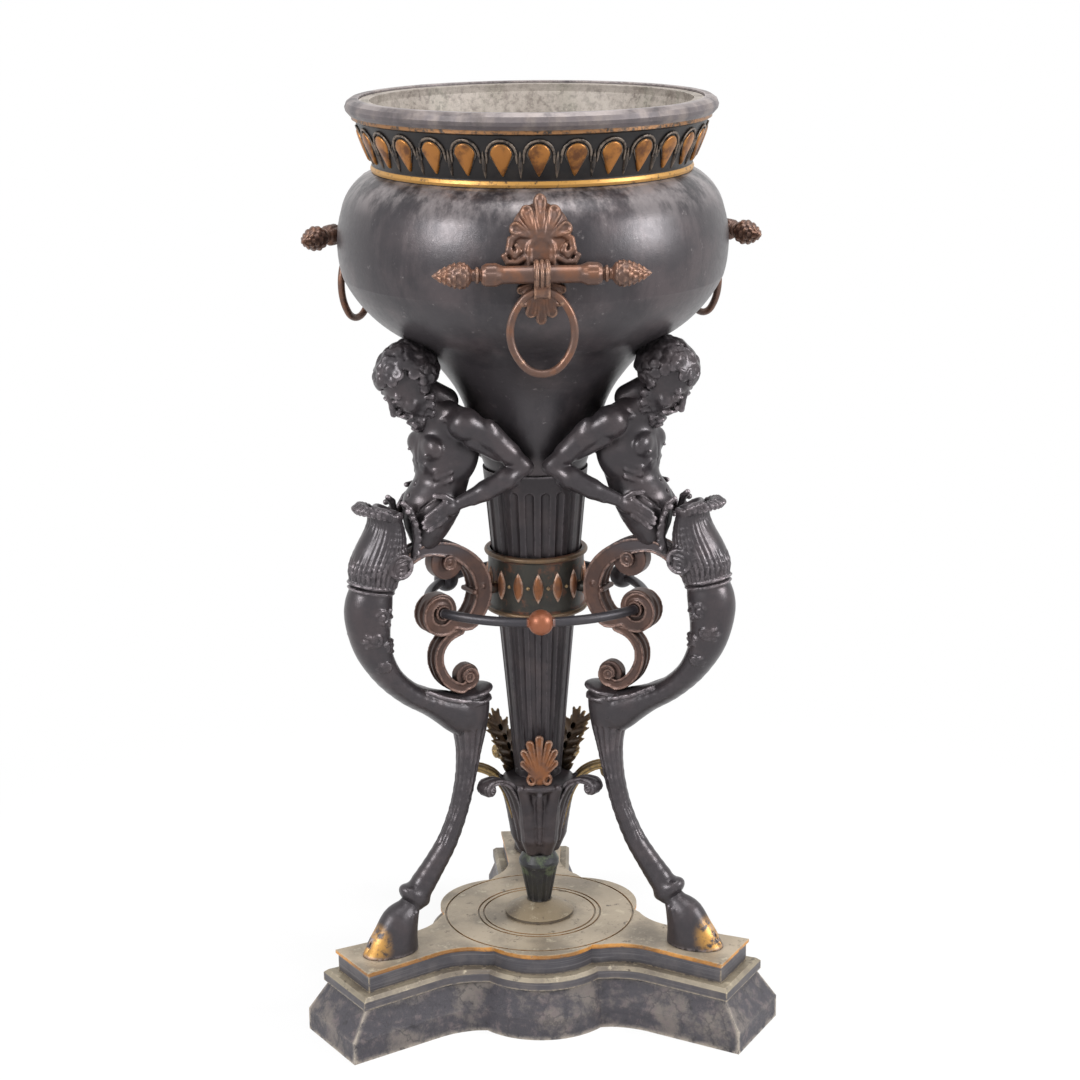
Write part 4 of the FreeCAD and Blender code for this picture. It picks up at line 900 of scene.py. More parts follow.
# ------------------------------------------------------------------ camera, floor, lights
@dataclass
class Studio:
    """Camera at the photograph's angle, pale floor and soft lamps."""

    focal_px: float = 2462.2
    frame_px: float = 1080.0
    sensor_mm: float = 36.0
    distance_m: float = 2.6617
    height_m: float = 1.2786
    pitch: float = 15.38
    azimuth: float = -2.2
    yaw: float = -0.10
    roll: float = -0.53
    clip_end_m: float = 50.0
    floor_half_m: float = 9.0
    ambient: float = 0.44
    floor_glow: float = 0.86
    fade_from_m: float = 0.45
    fade_to_m: float = 1.1

    def camera(self) -> None:
        """Create the camera."""
        data = bpy.data.cameras.new("studio_camera")
        data.sensor_width = self.sensor_mm
        data.sensor_fit = "HORIZONTAL"
        data.lens = self.focal_px / self.frame_px * self.sensor_mm
        data.clip_end = self.clip_end_m
        camera = bpy.data.objects.new("studio_camera", data)
        turn = math.radians(self.azimuth)
        place = Matrix.Translation(
            (self.distance_m * math.sin(turn), -self.distance_m * math.cos(turn), self.height_m)
        )
        heading = Matrix.Rotation(turn + math.radians(self.yaw), 4, "Z")
        camera.matrix_world = (
            place @ heading @ Matrix.Rotation(math.radians(90.0 - self.pitch), 4, "X")
            @ Matrix.Rotation(math.radians(self.roll), 4, "Z")
        )
        bpy.context.scene.collection.objects.link(camera)
        bpy.context.scene.camera = camera

    def floor(self) -> None:
        """Lay a pale floor that fades into the white background."""
        half = self.floor_half_m
        corners = [[-half, -half, 0], [half, -half, 0], [half, half, 0], [-half, half, 0]]
        points = np.array(corners, dtype=float)
        material, node = blank("pale_studio_floor")
        spot = node("ShaderNodeTexCoord").outputs["Object"]
        speck = node(NOISE, {"Vector": spot, "Scale": 40.0, "Detail": 2.0})
        tone = node(MIX, {0: speck, 6: linear("#f4f4f4"), 7: linear("#fafafa")}, **COLOUR)
        matt = node("ShaderNodeBsdfDiffuse", {"Color": tone})
        white = node("ShaderNodeEmission", {"Color": (1.0, 1.0, 1.0, 1.0), "Strength": 1.0})
        away = node("ShaderNodeVectorMath", {0: spot}, operation="LENGTH").outputs["Value"]
        limits = {0: away, 1: self.fade_from_m, 2: self.fade_to_m, 3: self.floor_glow, 4: 1.0}
        fade = node(RANGE, limits, **SMOOTH)
        share = node(MATH, {0: self.seen(node), 1: fade}, operation="MULTIPLY")
        ground = node("ShaderNodeMixShader", {0: share, 1: matt, 2: white})
        node("ShaderNodeOutputMaterial", {"Surface": ground})
        floor = mesh_piece("studio_floor", points, np.array([[0, 1, 2, 3]]), material, False)

    def seen(self, node: NodeMaker) -> bpy.types.Node:
        """Make the share that is 1 for what the camera sees, straight or in metal or glass."""
        rays = node("ShaderNodeLightPath")
        kinds = ("Camera", "Glossy", "Transmission")
        camera, glossy, through = (rays.outputs["Is %s Ray" % kind] for kind in kinds)
        mirrored = node(MATH, {0: glossy, 1: through}, operation="MAXIMUM")
        return node(MATH, {0: camera, 1: mirrored}, operation="MAXIMUM")

    def world(self) -> None:
        """Make light grey surroundings that the camera sees as white."""
        world = bpy.data.worlds.new("studio_surroundings")
        world.use_nodes = True
        world.node_tree.nodes.clear()
        node = partial(add, world.node_tree)
        strength = node(
            MATH, {0: self.seen(node), 1: 1.0 - self.ambient, 2: self.ambient}, operation="MULTIPLY_ADD"
        )
        back = node("ShaderNodeBackground", {"Color": (1.0, 1.0, 1.0, 1.0), "Strength": strength})
        node("ShaderNodeOutputWorld", {"Surface": back})
        bpy.context.scene.world = world

    def lamp(self, name: str, spot: Point, size: float, power: float, aim: Point = (0.0, 0.0, 0.6)) -> None:
        """Hang one square soft box.

        Args:
            name: name of the lamp.
            spot: its place in metres.
            size: its edge in metres.
            power: watts.
            aim: the point it faces.
        """
        data = bpy.data.lights.new(name, "AREA")
        data.shape = "SQUARE"
        data.size = size
        data.energy = power
        lamp = bpy.data.objects.new(name, data)
        lamp.location = spot
        lamp.rotation_euler = (Vector(aim) - Vector(spot)).to_track_quat("-Z", "Y").to_euler()
        bpy.context.scene.collection.objects.link(lamp)

    def build(self) -> None:
        """Set up everything round the object."""
        self.camera()
        self.floor()
        self.world()
        self.lamp("soft_box_left", (-2.2, -1.6, 1.9), 1.0, 64.0)
        self.lamp("soft_box_right", (2.3, -1.0, 1.6), 1.0, 60.0)
        self.lamp("soft_box_top", (0.2, -0.4, 3.0), 1.5, 46.0)
        bpy.context.scene.view_settings.view_transform = "Standard"


# ------------------------------------------------------------------ half-figures
@dataclass
class HalfFigure:
    """Bearded half-figure with hands on its hips, bowed under the bowl; modelled at the front."""

    voxel: float = 1.3
    head_voxel: float = 0.95
    head_out: float = 158.0
    head_z: float = 746.0
    head_tilt: float = 43.0
    head_scale: float = 1.16
    skin: bpy.types.Material | None = None

    def torso(self) -> Net:
        """Model the trunk, arms and hands.

        Returns:
            Points and quads in side, out and height.
        """
        clay = Clay((-78.0, 32.0, 560.0), (78.0, 186.0, 744.0), self.voxel)
        trunk = [
            (0.0, 142.0, 574.0, 17.0), (0.0, 139.0, 590.0, 25.5), (0.0, 134.0, 607.0, 30.0),
            (0.0, 125.0, 621.0, 28.0), (0.0, 119.0, 636.0, 27.0), (0.0, 117.0, 652.0, 30.5),
            (0.0, 117.0, 668.0, 32.5), (0.0, 115.0, 684.0, 30.0), (0.0, 115.0, 696.0, 23.0),
        ]
        clay.path(trunk, 6.0)
        clay.limb((0.0, 120.0, 694.0), (0.0, 148.0, 726.0), 19.0, 15.5, 8.0)
        for _ in clay.both_sides():
            clay.limb((9.0, 121.0, 712.0), (36.0, 110.0, 703.0), 13.0, 13.0, 9.0)
            clay.egg((15.0, 139.0, 674.0), (16.0, 11.5, 14.0), 8.0, 3.0, roll=12.0)
            clay.egg((24.0, 104.0, 662.0), (13.0, 15.0, 27.0), -14.0, 6.0)
            clay.egg((17.0, 92.0, 690.0), (15.0, 9.0, 16.0), -30.0, 6.0)
            clay.path(
                [
                    (3.0, 147.5, 659.0, 2.2), (12.0, 146.0, 656.0, 2.2),
                    (21.0, 139.0, 645.0, 2.2), (26.0, 128.0, 634.0, 2.0),
                ], 3.0,
            )
            for out, z, half in ((144.0, 650.0, 6.0), (142.5, 638.5, 5.8), (146.5, 627.0, 5.8)):
                clay.egg((7.2, out, z), (7.0, 4.6, half), 4.0, 1.6)
            for row in range(3):
                z = 652.0 - row * 8.5
                clay.limb((21.0, 140.0 - row, z - 2.0), (29.5, 126.0, z + 5.0), 3.2, 2.6, 1.8)
            clay.egg((22.0, 133.0, 606.0), (12.0, 21.0, 16.0), 10.0, 6.0)
            clay.path(
                [(27.0, 146.0, 621.0, 1.6), (19.0, 156.0, 610.0, 1.5), (8.0, 163.0, 597.0, 1.3)],
                3.0, cut=True,
            )
            clay.path([(3.0, 138.0, 700.0, 2.6), (31.0, 126.0, 707.0, 2.4)], 2.6)
            clay.ball((18.0, 150.0, 668.0), 1.7, 0.8)
            self.arm(clay)
        clay.egg((0.0, 146.0, 609.0), (19.0, 18.0, 14.0), 8.0, 5.0)
        clay.limb((0.0, 160.0, 621.0), (0.0, 166.0, 620.0), 1.8, 1.4, 1.6, cut=True)
        clay.limb((0.0, 151.0, 690.0), (0.0, 152.5, 662.0), 1.9, 1.5, 3.4, cut=True)
        clay.limb((0.0, 150.0, 656.0), (0.0, 153.0, 626.0), 1.2, 1.2, 2.0, cut=True)
        clay.limb((0.0, 84.0, 700.0), (0.0, 92.0, 616.0), 3.0, 2.5, 7.0, cut=True)
        return clay.skin()

    def arm(self, clay: Clay) -> None:
        """Model one arm, with its hand laid on the hip, in the trunk's clay."""
        shoulder = (40.0, 113.0, 701.0)
        elbow = (57.0, 52.0, 650.0)
        wrist = (39.0, 120.0, 616.0)
        clay.egg(shoulder, (16.0, 18.0, 17.5), 0.0, 6.0)
        clay.path(
            [
                (*shoulder, 15.0), (49.0, 90.0, 688.0, 14.2), (55.0, 68.0, 666.0, 11.6),
                (*elbow, 10.2),
            ], 4.0,
        )
        clay.limb((42.0, 106.0, 684.0), (49.0, 78.0, 664.0), 10.2, 7.0, 2.6)
        clay.limb((53.0, 92.0, 699.0), (58.0, 62.0, 669.0), 7.6, 5.4, 2.4)
        clay.ball((58.5, 46.5, 649.0), 6.8, 3.5)
        clay.path(
            [
                (*elbow, 10.0), (55.5, 72.0, 639.0, 12.2), (49.5, 96.0, 627.0, 10.4),
                (*wrist, 7.2),
            ], 3.5,
        )
        clay.limb((54.0, 66.0, 646.0), (48.0, 98.0, 634.0), 6.0, 4.0, 2.0)
        clay.limb((58.0, 62.0, 634.0), (47.0, 108.0, 616.0), 5.4, 3.6, 2.0)
        clay.egg((35.5, 131.0, 610.0), (7.0, 13.0, 9.5), 0.0, 2.6, roll=14.0)
        fingers = ((9.0, 20.0), (3.5, 23.0), (-2.2, 22.0), (-7.6, 18.0))
        for spread, length in fingers:
            root = (36.5, 138.0, 608.0 + spread)
            knuckle = (36.0, 138.0 + length * 0.45, 602.5 + spread * 0.95)
            tip = (30.5, 138.0 + length, 594.0 + spread * 0.95)
            clay.path([(*root, 3.5), (*knuckle, 3.3), (*tip, 2.6)], 0.7)
        clay.path(
            [
                (37.0, 127.0, 617.0, 4.0), (35.0, 137.0, 624.0, 3.5), (31.0, 147.0, 625.0, 2.9),
            ], 1.2,
        )

    def head(self) -> Net:
        """Model the head with its curls and beard upright, then bow it.

        Returns:
            Points and quads in side, out and height.
        """
        clay = Clay((-42.0, -46.0, -60.0), (42.0, 46.0, 46.0), self.head_voxel)
        clay.limb((0.0, -12.0, -42.0), (0.0, -6.0, -22.0), 13.0, 13.0, 5.0)
        clay.egg((0.0, -4.0, 8.0), (23.0, 27.5, 25.0), 0.0, 5.0)
        clay.egg((0.0, 7.0, -11.0), (18.5, 19.0, 24.0), 0.0, 6.0)
        clay.egg((0.0, 20.0, -29.0), (7.5, 6.0, 6.5), 0.0, 4.0)
        clay.limb((-12.0, 20.5, 6.2), (12.0, 20.5, 6.2), 3.6, 3.6, 3.0)
        for _ in clay.both_sides():
            clay.ball((9.2, 27.0, 0.6), 5.2, 3.0, cut=True)
            clay.ball((9.0, 20.8, 0.2), 5.0, 0.8)
            lid = [
                (4.6, 24.6, 0.4, 1.0), (7.0, 25.9, 3.0, 1.1), (11.0, 25.0, 2.9, 1.1),
                (13.8, 22.2, 0.2, 1.0),
            ]
            clay.path(lid, 0.8)
            lower = [
                (4.8, 24.6, 0.0, 0.8), (8.0, 25.2, -2.6, 0.9), (11.6, 24.3, -2.3, 0.9),
                (13.6, 22.2, -0.2, 0.8),
            ]
            clay.path(lower, 0.8)
            clay.egg((12.5, 17.5, -9.0), (7.5, 7.0, 7.0), 0.0, 5.0)
            clay.ball((3.6, 28.2, -10.0), 2.5, 1.6)
            clay.limb((22.5, -3.0, 4.0), (21.5, -1.0, -7.0), 3.8, 2.8, 1.5)
            clay.limb((25.5, -1.5, 2.5), (24.5, -0.5, -3.0), 1.6, 1.4, 1.2, cut=True)
        clay.path([(0.0, 23.5, 5.0, 3.2), (0.0, 28.4, -4.0, 2.7), (0.0, 31.6, -9.2, 3.3)], 2.4)
        clay.limb((-6.0, 26.0, -17.0), (6.0, 26.0, -17.0), 2.0, 2.0, 1.0)
        clay.limb((-4.6, 26.0, -20.6), (4.6, 26.0, -20.6), 2.3, 2.3, 1.2)
        clay.limb((-6.5, 28.6, -18.8), (6.5, 28.6, -18.8), 0.5, 0.5, 0.8, cut=True)
        self.curls(clay)
        points, faces = clay.surface()
        points = relaxed(points, faces, 1) * self.head_scale
        turn = math.radians(self.head_tilt)
        out = points[:, 1] * math.cos(turn) + points[:, 2] * math.sin(turn)
        up = -points[:, 1] * math.sin(turn) + points[:, 2] * math.cos(turn)
        return np.stack([points[:, 0], out + self.head_out, up + self.head_z], axis=1), faces

    def curls(self, clay: Clay) -> None:
        """Cover the crown, nape and jaw with small round locks."""
        golden = math.pi * (3.0 - math.sqrt(5.0))
        count = 150
        rng = np.random.default_rng(7)
        for index in range(count):
            z = 1.0 - 2.0 * (index + 0.5) / count
            ring = math.sqrt(1.0 - z * z)
            side = ring * math.cos(golden * index)
            out = ring * math.sin(golden * index)
            hairline = 0.42 + 0.10 * abs(side)
            if z < -0.62 or (out > 0.15 and z < hairline):
                continue
            normal = np.array([side / 24.0, out / 29.0, z / 26.0])
            normal /= np.linalg.norm(normal)
            centre = np.array([side * 25.5, out * 30.0 - 4.0, z * 27.0 + 8.0])
            size = 3.7 + rng.uniform(-0.5, 0.7)
            tilt = rng.uniform(-0.35, 0.35, 3)
            clay.curl(centre, normal + tilt, size, 2.0 + rng.uniform(-0.2, 0.4), 0.9)
            clay.ball(tuple(centre - normal * 2.0), 4.6, 2.0)
        beard = (
            (-17.0, 12.0, 18.5, 4), (-24.0, 17.0, 16.5, 6), (-31.5, 21.0, 13.0, 6), (-37.5, 21.5, 7.0, 5),
        )
        for row, (z, out, half, number) in enumerate(beard):
            for index in range(number):
                share = -1.0 + 2.0 * index / (number - 1)
                side = half * share
                back = out + 5.5 - 15.0 * share * share
                if row == 0 and abs(share) < 0.55:
                    continue
                centre = np.array([side, back, z + rng.uniform(-1.0, 1.0)])
                normal = np.array([share * 0.9, 1.0 - 0.5 * abs(share), -0.25]) + rng.uniform(-0.3, 0.3, 3)
                clay.curl(centre, normal, 2.9 + rng.uniform(-0.3, 0.5), 1.8, 0.9)
                clay.ball((side, back - 3.5, centre[2]), 4.4, 2.0)
        for _ in clay.both_sides():
            clay.path(
                [(1.0, 29.3, -14.4, 1.7), (6.0, 27.5, -16.0, 1.8), (9.5, 23.5, -20.0, 1.6)], 1.0
            )

    def build(self) -> None:
        """Make the three figures."""
        trunk, trunk_faces = self.torso()
        head, head_faces = self.head()
        for number, azimuth in enumerate(LEG_AZIMUTHS, 1):
            replaced = ["figure_%s_%d" % (part, number) for part in ("torso", "arm_left", "arm_right")]
            set_piece(
                "half_figure_%d" % number, to_world(trunk, azimuth), trunk_faces, self.skin, Body.STAND,
                "brown_patina", *replaced,
            )
            set_piece(
                "curly_head_%d" % number, to_world(head, azimuth), head_faces, self.skin, Body.STAND,
                "brown_patina", "figure_head_%d" % number,
            )


# ------------------------------------------------------------------ repeated ornaments
@dataclass
class OrnamentRing:
    """Ornaments set at equal angles round the axis by a node tree."""

    name: str
    count: int
    start: float
    material: bpy.types.Material
    body: Body
    slot: str

    def tree(self) -> bpy.types.NodeTree:
        """Build the node tree with named inputs."""
        tree = bpy.data.node_groups.new(self.name + "_ring", "GeometryNodeTree")
        wanted = (("Ornament", "Object"), ("Count", "Int"), ("Start Angle", "Float"), ("Finish", "Material"))
        for label, kind in wanted:
            tree.interface.new_socket(name=label, in_out="INPUT", socket_type="NodeSocket" + kind)
        tree.interface.new_socket(name="Geometry", in_out="OUTPUT", socket_type="NodeSocketGeometry")
        node = partial(add, tree)
        given = node("NodeGroupInput")
        spots = node("GeometryNodeMeshLine", {"Count": given.outputs["Count"], "Offset": (0.0, 0.0, 0.0)})
        step = node(MATH, {0: 2.0 * math.pi, 1: given.outputs["Count"]}, operation="DIVIDE")
        angle = node(
            MATH, {0: node("GeometryNodeInputIndex"), 1: step, 2: given.outputs["Start Angle"]},
            operation="MULTIPLY_ADD",
        )
        turn = node("ShaderNodeCombineXYZ", {2: angle})
        source = node("GeometryNodeObjectInfo", {"Object": given.outputs["Ornament"]}).outputs["Geometry"]
        placed = node("GeometryNodeInstanceOnPoints", {"Points": spots, "Instance": source, "Rotation": turn})
        real = node("GeometryNodeRealizeInstances", {"Geometry": placed})
        done = node("GeometryNodeSetMaterial", {"Geometry": real, "Material": given.outputs["Finish"]})
        node("NodeGroupOutput", {"Geometry": done})
        return tree

    def build(self, points: Array, faces: Array) -> bpy.types.Object:
        """Repeat one ornament that stands at the front.

        Args:
            points: its vertices in side, out and height.
            faces: its faces.

        Returns:
            The finished ring as one plain mesh.
        """
        one = mesh_piece(self.name + "_one", to_world(points, 0.0), faces, self.material)
        holder = bpy.data.objects.new(self.name, bpy.data.meshes.new(self.name))
        bpy.context.scene.collection.objects.link(holder)
        modifier = holder.modifiers.new("ring", "NODES")
        tree = self.tree()
        modifier.node_group = tree
        values = {
            "Ornament": one, "Count": self.count, "Start Angle": math.radians(self.start),
            "Finish": self.material
        }
        for item in tree.interface.items_tree:
            if item.in_out == "INPUT":
                modifier[item.identifier] = values[item.name]
        graph = bpy.context.evaluated_depsgraph_get()
        graph.update()
        mesh = bpy.data.meshes.new_from_object(holder.evaluated_get(graph))
        holder.modifiers.clear()
        holder.data = mesh
        mesh.name = self.name
        bpy.data.objects.remove(one)
        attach(holder, self.body.value)
        log.info("%s: %d faces", self.name, len(mesh.polygons))
        return holder


def lens(half: float, height: float, rise: float, columns: int = 12, sharp: float = 1.0) -> Net:
    """Closed almond-shaped cushion lying in the side and height plane, bulging out.

    Args:
        half: half width.
        height: length from tip to tip.
        rise: how far its middle stands out.
        columns: steps across.
        sharp: above 1 the ends are more pointed.

    Returns:
        Points as side, out and height about the middle, and quads.
    """
    rows = 15
    v, u = np.meshgrid(np.linspace(-1, 1, rows), np.linspace(-1, 1, columns), indexing="ij")
    reach = np.maximum(1.0 - np.abs(v) ** (2.0 / sharp), 0.0)
    side = half * reach * u
    out = rise * np.sqrt(np.maximum((1.0 - u * u), 0.0)) * reach ** 0.6
    front = np.stack([side.ravel(), out.ravel(), (v * height / 2).ravel()], axis=1)
    back = front.copy()
    back[:, 1] = -0.6
    faces = grid_faces(rows, columns, False)
    count = len(front)
    rim = np.concatenate([
        np.arange(0, columns), np.arange(1, rows) * columns + columns - 1,
        np.arange(columns - 2, -1, -1) + (rows - 1) * columns, np.arange(rows - 2, 0, -1) * columns,
    ])
    after = np.roll(rim, -1)
    wall = np.stack([rim, after, after + count, rim + count], axis=1)
    return np.concatenate([front, back]), np.concatenate([faces[:, ::-1], faces + count, wall])


# ------------------------------------------------------------------ bowl, frieze, lip, liner
@dataclass
class BowlTop:
    """Drops, darts and arches of the frieze, and the finishes of bowl, band, lip and liner."""

    drops: int = 30
    drop_top: float = FRIEZE_TOP_Z - 8.0
    drop_height: float = 35.0
    drop_half: float = 11.4
    dart_z: float = 986.0
    nodes: dict[str, bpy.types.Object] = field(default_factory=dict)

    @staticmethod
    def on_frieze(points: Array) -> Array:
        """Lay flat points (side, rise, height) on the sloping frieze."""
        foot = NECK_RADIUS - 2.0
        slope = (FRIEZE_TOP_RADIUS - foot) / (FRIEZE_TOP_Z - NECK_Z)
        radius = foot + slope * (points[:, 2] - NECK_Z) + points[:, 1]
        angle = points[:, 0] / radius
        return np.stack([radius * np.sin(angle), radius * np.cos(angle), points[:, 2]], axis=1)

    def drop(self) -> Net:
        """One drop: a round cap above, drawn out to a point below."""
        clay = Clay((-15.0, -3.0, 970.0), (15.0, 7.0, 1012.0), 1.5)
        centre = self.drop_top - self.drop_half
        tip = self.drop_top - self.drop_height

        def shape(x: Array, y: Array, z: Array) -> Array:
            below = np.clip((z - tip) / (centre - tip), 0.0, 1.0)
            width = self.drop_half * np.where(z > centre, 1.0, below ** 0.85)
            round_top = np.sqrt(x * x + np.maximum(z - centre, 0.0) ** 2) - width
            flat = np.maximum(round_top, tip - z)
            cushion = y - 2.3 - 1.6 * np.clip(-flat / 7.0, 0.0, 1.0) ** 0.5
            return np.maximum(np.maximum(flat, cushion), -1.5 - y)

        clay.blend_in(np.array([-14.0, -2.5, 971.0]), np.array([14.0, 6.0, 1011.0]), shape, 0.0, False)
        points, faces = clay.skin()
        return self.on_frieze(points), faces

    def dart(self) -> Net:
        """Slim raised dart that stands between two drops, point down from a round head."""
        points, faces = lens(2.5, 30.0, 3.0, 8, 1.1)
        points[:, 2] += self.dart_z
        return self.on_frieze(points), faces

    def arch(self) -> Net:
        """Thin raised rim over the round top of a drop."""
        clay = Clay((-18.0, -3.0, 984.0), (18.0, 6.0, 1016.0), 1.2)
        centre = self.drop_top - self.drop_half
        rows = []
        for step in range(13):
            angle = math.pi * step / 12.0
            rows.append((15.2 * math.cos(angle), 1.0, centre + 14.6 * math.sin(angle), 1.5))
        clay.path([(15.6, 1.0, centre - 9.0, 1.2), *rows, (-15.6, 1.0, centre - 9.0, 1.2)], 0.6)
        points, faces = clay.surface()
        return self.on_frieze(points), faces

    def build(self) -> None:
        """Dress the bowl group and set the ornaments."""
        dress(self.nodes["bowl"], BOWL_PATINA.material())
        dress(self.nodes["rim_band"], FRIEZE_ZONED.material())
        dress(self.nodes["rim_lip"], LIP_PATINA.material())
        dress(self.nodes["liner"], LINER_ZINC.material())
        gilt = GILDING.material()
        OrnamentRing("gilt_drops", self.drops, 0.0, gilt, Body.BOWL, "gilt_bronze").build(*self.drop())
        dark = FRIEZE_BLACK.material()
        half_step = 180.0 / self.drops
        OrnamentRing("dark_darts", self.drops, half_step, dark, Body.BOWL, "dark_patina").build(*self.dart())
        OrnamentRing("drop_arches", self.drops, 0.0, dark, Body.BOWL, "dark_patina").build(*self.arch())


# ------------------------------------------------------------------ legs
@dataclass
class Leg:
    """Scrolled leg: hoof, fluted shank, swelling band, leafy husk and the two scrolls inside it."""

    voxel: float = 1.5
    fine_voxel: float = 1.25
    scroll_half: float = 12.0
    relief_lift: float = 1.6
    ankle_cut: float = 141.0
    skin: bpy.types.Material | None = None
    copper: bpy.types.Material | None = None
    hoof_skin: bpy.types.Material | None = None

    @staticmethod
    def eased(rows: Sequence[Row], steps: int) -> list[Row]:
        """Smooth rows of numbers by adding rows in between."""
        result = []
        for index in range(len(rows) - 1):
            p0 = np.array(rows[max(index - 1, 0)])
            p1, p2 = np.array(rows[index]), np.array(rows[index + 1])
            p3 = np.array(rows[min(index + 2, len(rows) - 1)])
            for step in range(steps):
                t = step / steps
                cubic = t * (3 * p1 - p0 - 3 * p2 + p3)
                value = p1 + 0.5 * t * ((p2 - p0) + t * (2 * p0 - 5 * p1 + 4 * p2 - p3 + cubic))
                result.append(tuple(value))
        result.append(tuple(rows[-1]))
        return result

    def cast(self, clay: Clay, rows: Sequence[Row], melt: float) -> None:
        """Add a limb of oval section through rows of out, height, half and side half."""
        path = self.eased(rows, 3)
        for a, b in zip(path, path[1:]):
            flat = (a[3] + b[3]) / (a[2] + b[2])
            clay.limb((0.0, a[0], a[1]), (0.0, b[0], b[1]), a[2], b[2], melt, flat=flat)

    def shank(self) -> Net:
        """Model the shank and the band with their flutes and relief."""
        clay = Clay((-34.0, 50.0, 138.0), (34.0, 252.0, 536.0), self.voxel)
        self.cast(
            clay,
            [
                (171.0, 143.0, 10.5, 10.5), (160.0, 162.0, 14.0, 14.0), (141.0, 186.0, 12.5, 12.5),
                (122.0, 213.0, 11.0, 12.0), (106.5, 248.0, 10.5, 12.0), (97.0, 284.0, 11.5, 13.0),
                (92.0, 318.0, 14.5, 15.0), (90.5, 345.0, 20.0, 17.5), (90.0, 370.0, 23.5, 19.5),
            ],
            2.0,
        )
        band = [
            (100.0, 360.0, 24.0, 19.0), (120.0, 371.0, 18.5, 19.0), (141.0, 382.0, 14.0, 19.0),
            (167.0, 397.0, 12.5, 19.5), (192.0, 421.0, 13.5, 20.0), (209.0, 451.0, 17.5, 22.0),
            (215.0, 477.0, 21.5, 24.0), (215.5, 500.0, 24.5, 25.0), (212.0, 517.0, 23.0, 24.0),
        ]
        self.cast(clay, band, 4.0)
        clay.egg((0.0, 88.0, 385.5), (22.5, 26.0, 5.4), 8.0, 2.0)
        clay.egg((0.0, 88.0, 375.0), (21.5, 24.0, 4.2), 8.0, 2.0)
        clay.egg((0.0, 96.0, 393.5), (16.0, 20.0, 4.4), 10.0, 1.6, cut=True)
        bead = [
            (12.0, 70.0, 376.0, 2.1), (17.5, 80.0, 376.0, 2.1), (18.5, 100.0, 379.0, 2.1),
            (17.0, 128.0, 388.0, 2.1),
            (16.0, 152.0, 400.0, 2.1),
        ]
        for _ in clay.both_sides():
            clay.path(bead, 1.6)
        clay.egg((0.0, 166.5, 157.0), (16.0, 20.5, 11.0), -36.0, 4.0)
        for s, c in spokes(14, 0.5):
            rows = [
                (17.8 * s, 90.5 + 20.6 * c, 343.0, 1.7), (15.6 * s, 92.0 + 15.2 * c, 318.0, 1.9),
                (13.6 * s, 97.0 + 12.2 * c, 284.0, 1.7), (12.8 * s, 106.5 + 11.2 * c, 248.0, 1.3),
                (12.8 * s, 122.0 + 11.8 * c, 213.0, 0.8),
            ]
            clay.path(rows, 1.0, cut=True)
        scrolls = (
            (211.0, 497.0, 9.5, 1.0), (219.0, 474.0, 7.5, -1.0), (203.0, 462.0, 6.5, 1.0),
            (206.0, 441.0, 5.5, -1.0),
        )
        for _ in clay.both_sides():
            for out, z, size, spin in scrolls:
                line = []
                for step in range(13):
                    angle = spin * (math.radians(38.0 * step) + 0.6)
                    reach = size * (1.0 - 0.062 * step)
                    at = (out + reach * math.cos(angle), z + reach * math.sin(angle))
                    line.append(self.on_band(band, *at, 1.9))
                clay.path(line, 0.8)
                clay.ball(self.on_band(band, out, z, 0.0)[:3], 2.6, 0.8)
                for spread in (-2.4, -1.7, -1.0):
                    lean = spin * spread
                    leaf = [
                        self.on_band(band, out + reach * math.sin(lean), z + reach * math.cos(lean), half)
                        for reach, half in ((size, 2.2), (1.35 * size, 2.4), (1.7 * size, 1.0))
                    ]
                    clay.path(leaf, 0.8)
        clay.egg((0.0, 211.0, 523.5), (26.0, 26.5, 3.4), -12.0, 2.0)
        clay.level(self.ankle_cut, True)
        return clay.skin()

    def on_band(self, band: list[Row], out: float, z: float, half: float) -> Row:
        """Lay a point of the relief on the skin of the band.

        Args:
            band: rows of out, height and the two half widths.
            out: distance from the axis.
            z: height.
            half: half thickness of the relief there.

        Returns:
            Side, out, height and the half thickness.
        """
        heights = [row[1] for row in band]
        mid, deep, wide = (np.interp(z, heights, [row[pick] for row in band]) for pick in (0, 2, 3))
        share = min(max((out - mid) / deep, -0.9), 0.9)
        side = (wide + self.relief_lift) * math.sqrt(1.0 - share * share)
        return side, mid + share * (deep + self.relief_lift), z, half

    def hoof(self) -> Net:
        """Model the hoof with its knuckle, its cleft and the short hair over its edge."""
        clay = Clay((-30.0, 146.0, 94.0), (30.0, 244.0, 160.0), self.fine_voxel)
        self.cast(
            clay,
            [
                (173.0, 148.0, 10.5, 10.5), (178.0, 139.0, 13.0, 13.0), (186.0, 130.0, 20.5, 18.0),
                (192.0, 114.0, 25.0, 20.5), (199.0, 90.0, 34.0, 22.5),
            ],
            3.0,
        )
        clay.egg((0.0, 191.0, 131.0), (15.0, 13.0, 8.0), 38.0, 4.0)
        clay.limb((0.0, 240.0, 92.0), (0.0, 202.0, 134.0), 2.2, 1.2, 1.6, cut=True)
        for s, c in spokes(17):
            root = (14.5 * s, 181.0 + 16.0 * c, 139.0 - 3.0 * c)
            tip = (18.6 * s, 187.0 + 20.5 * c, 124.0 - 6.0 * c)
            clay.limb(root, tip, 2.6, 0.8, 1.2)
        clay.level(PLATE_TOP, True)
        return clay.skin()

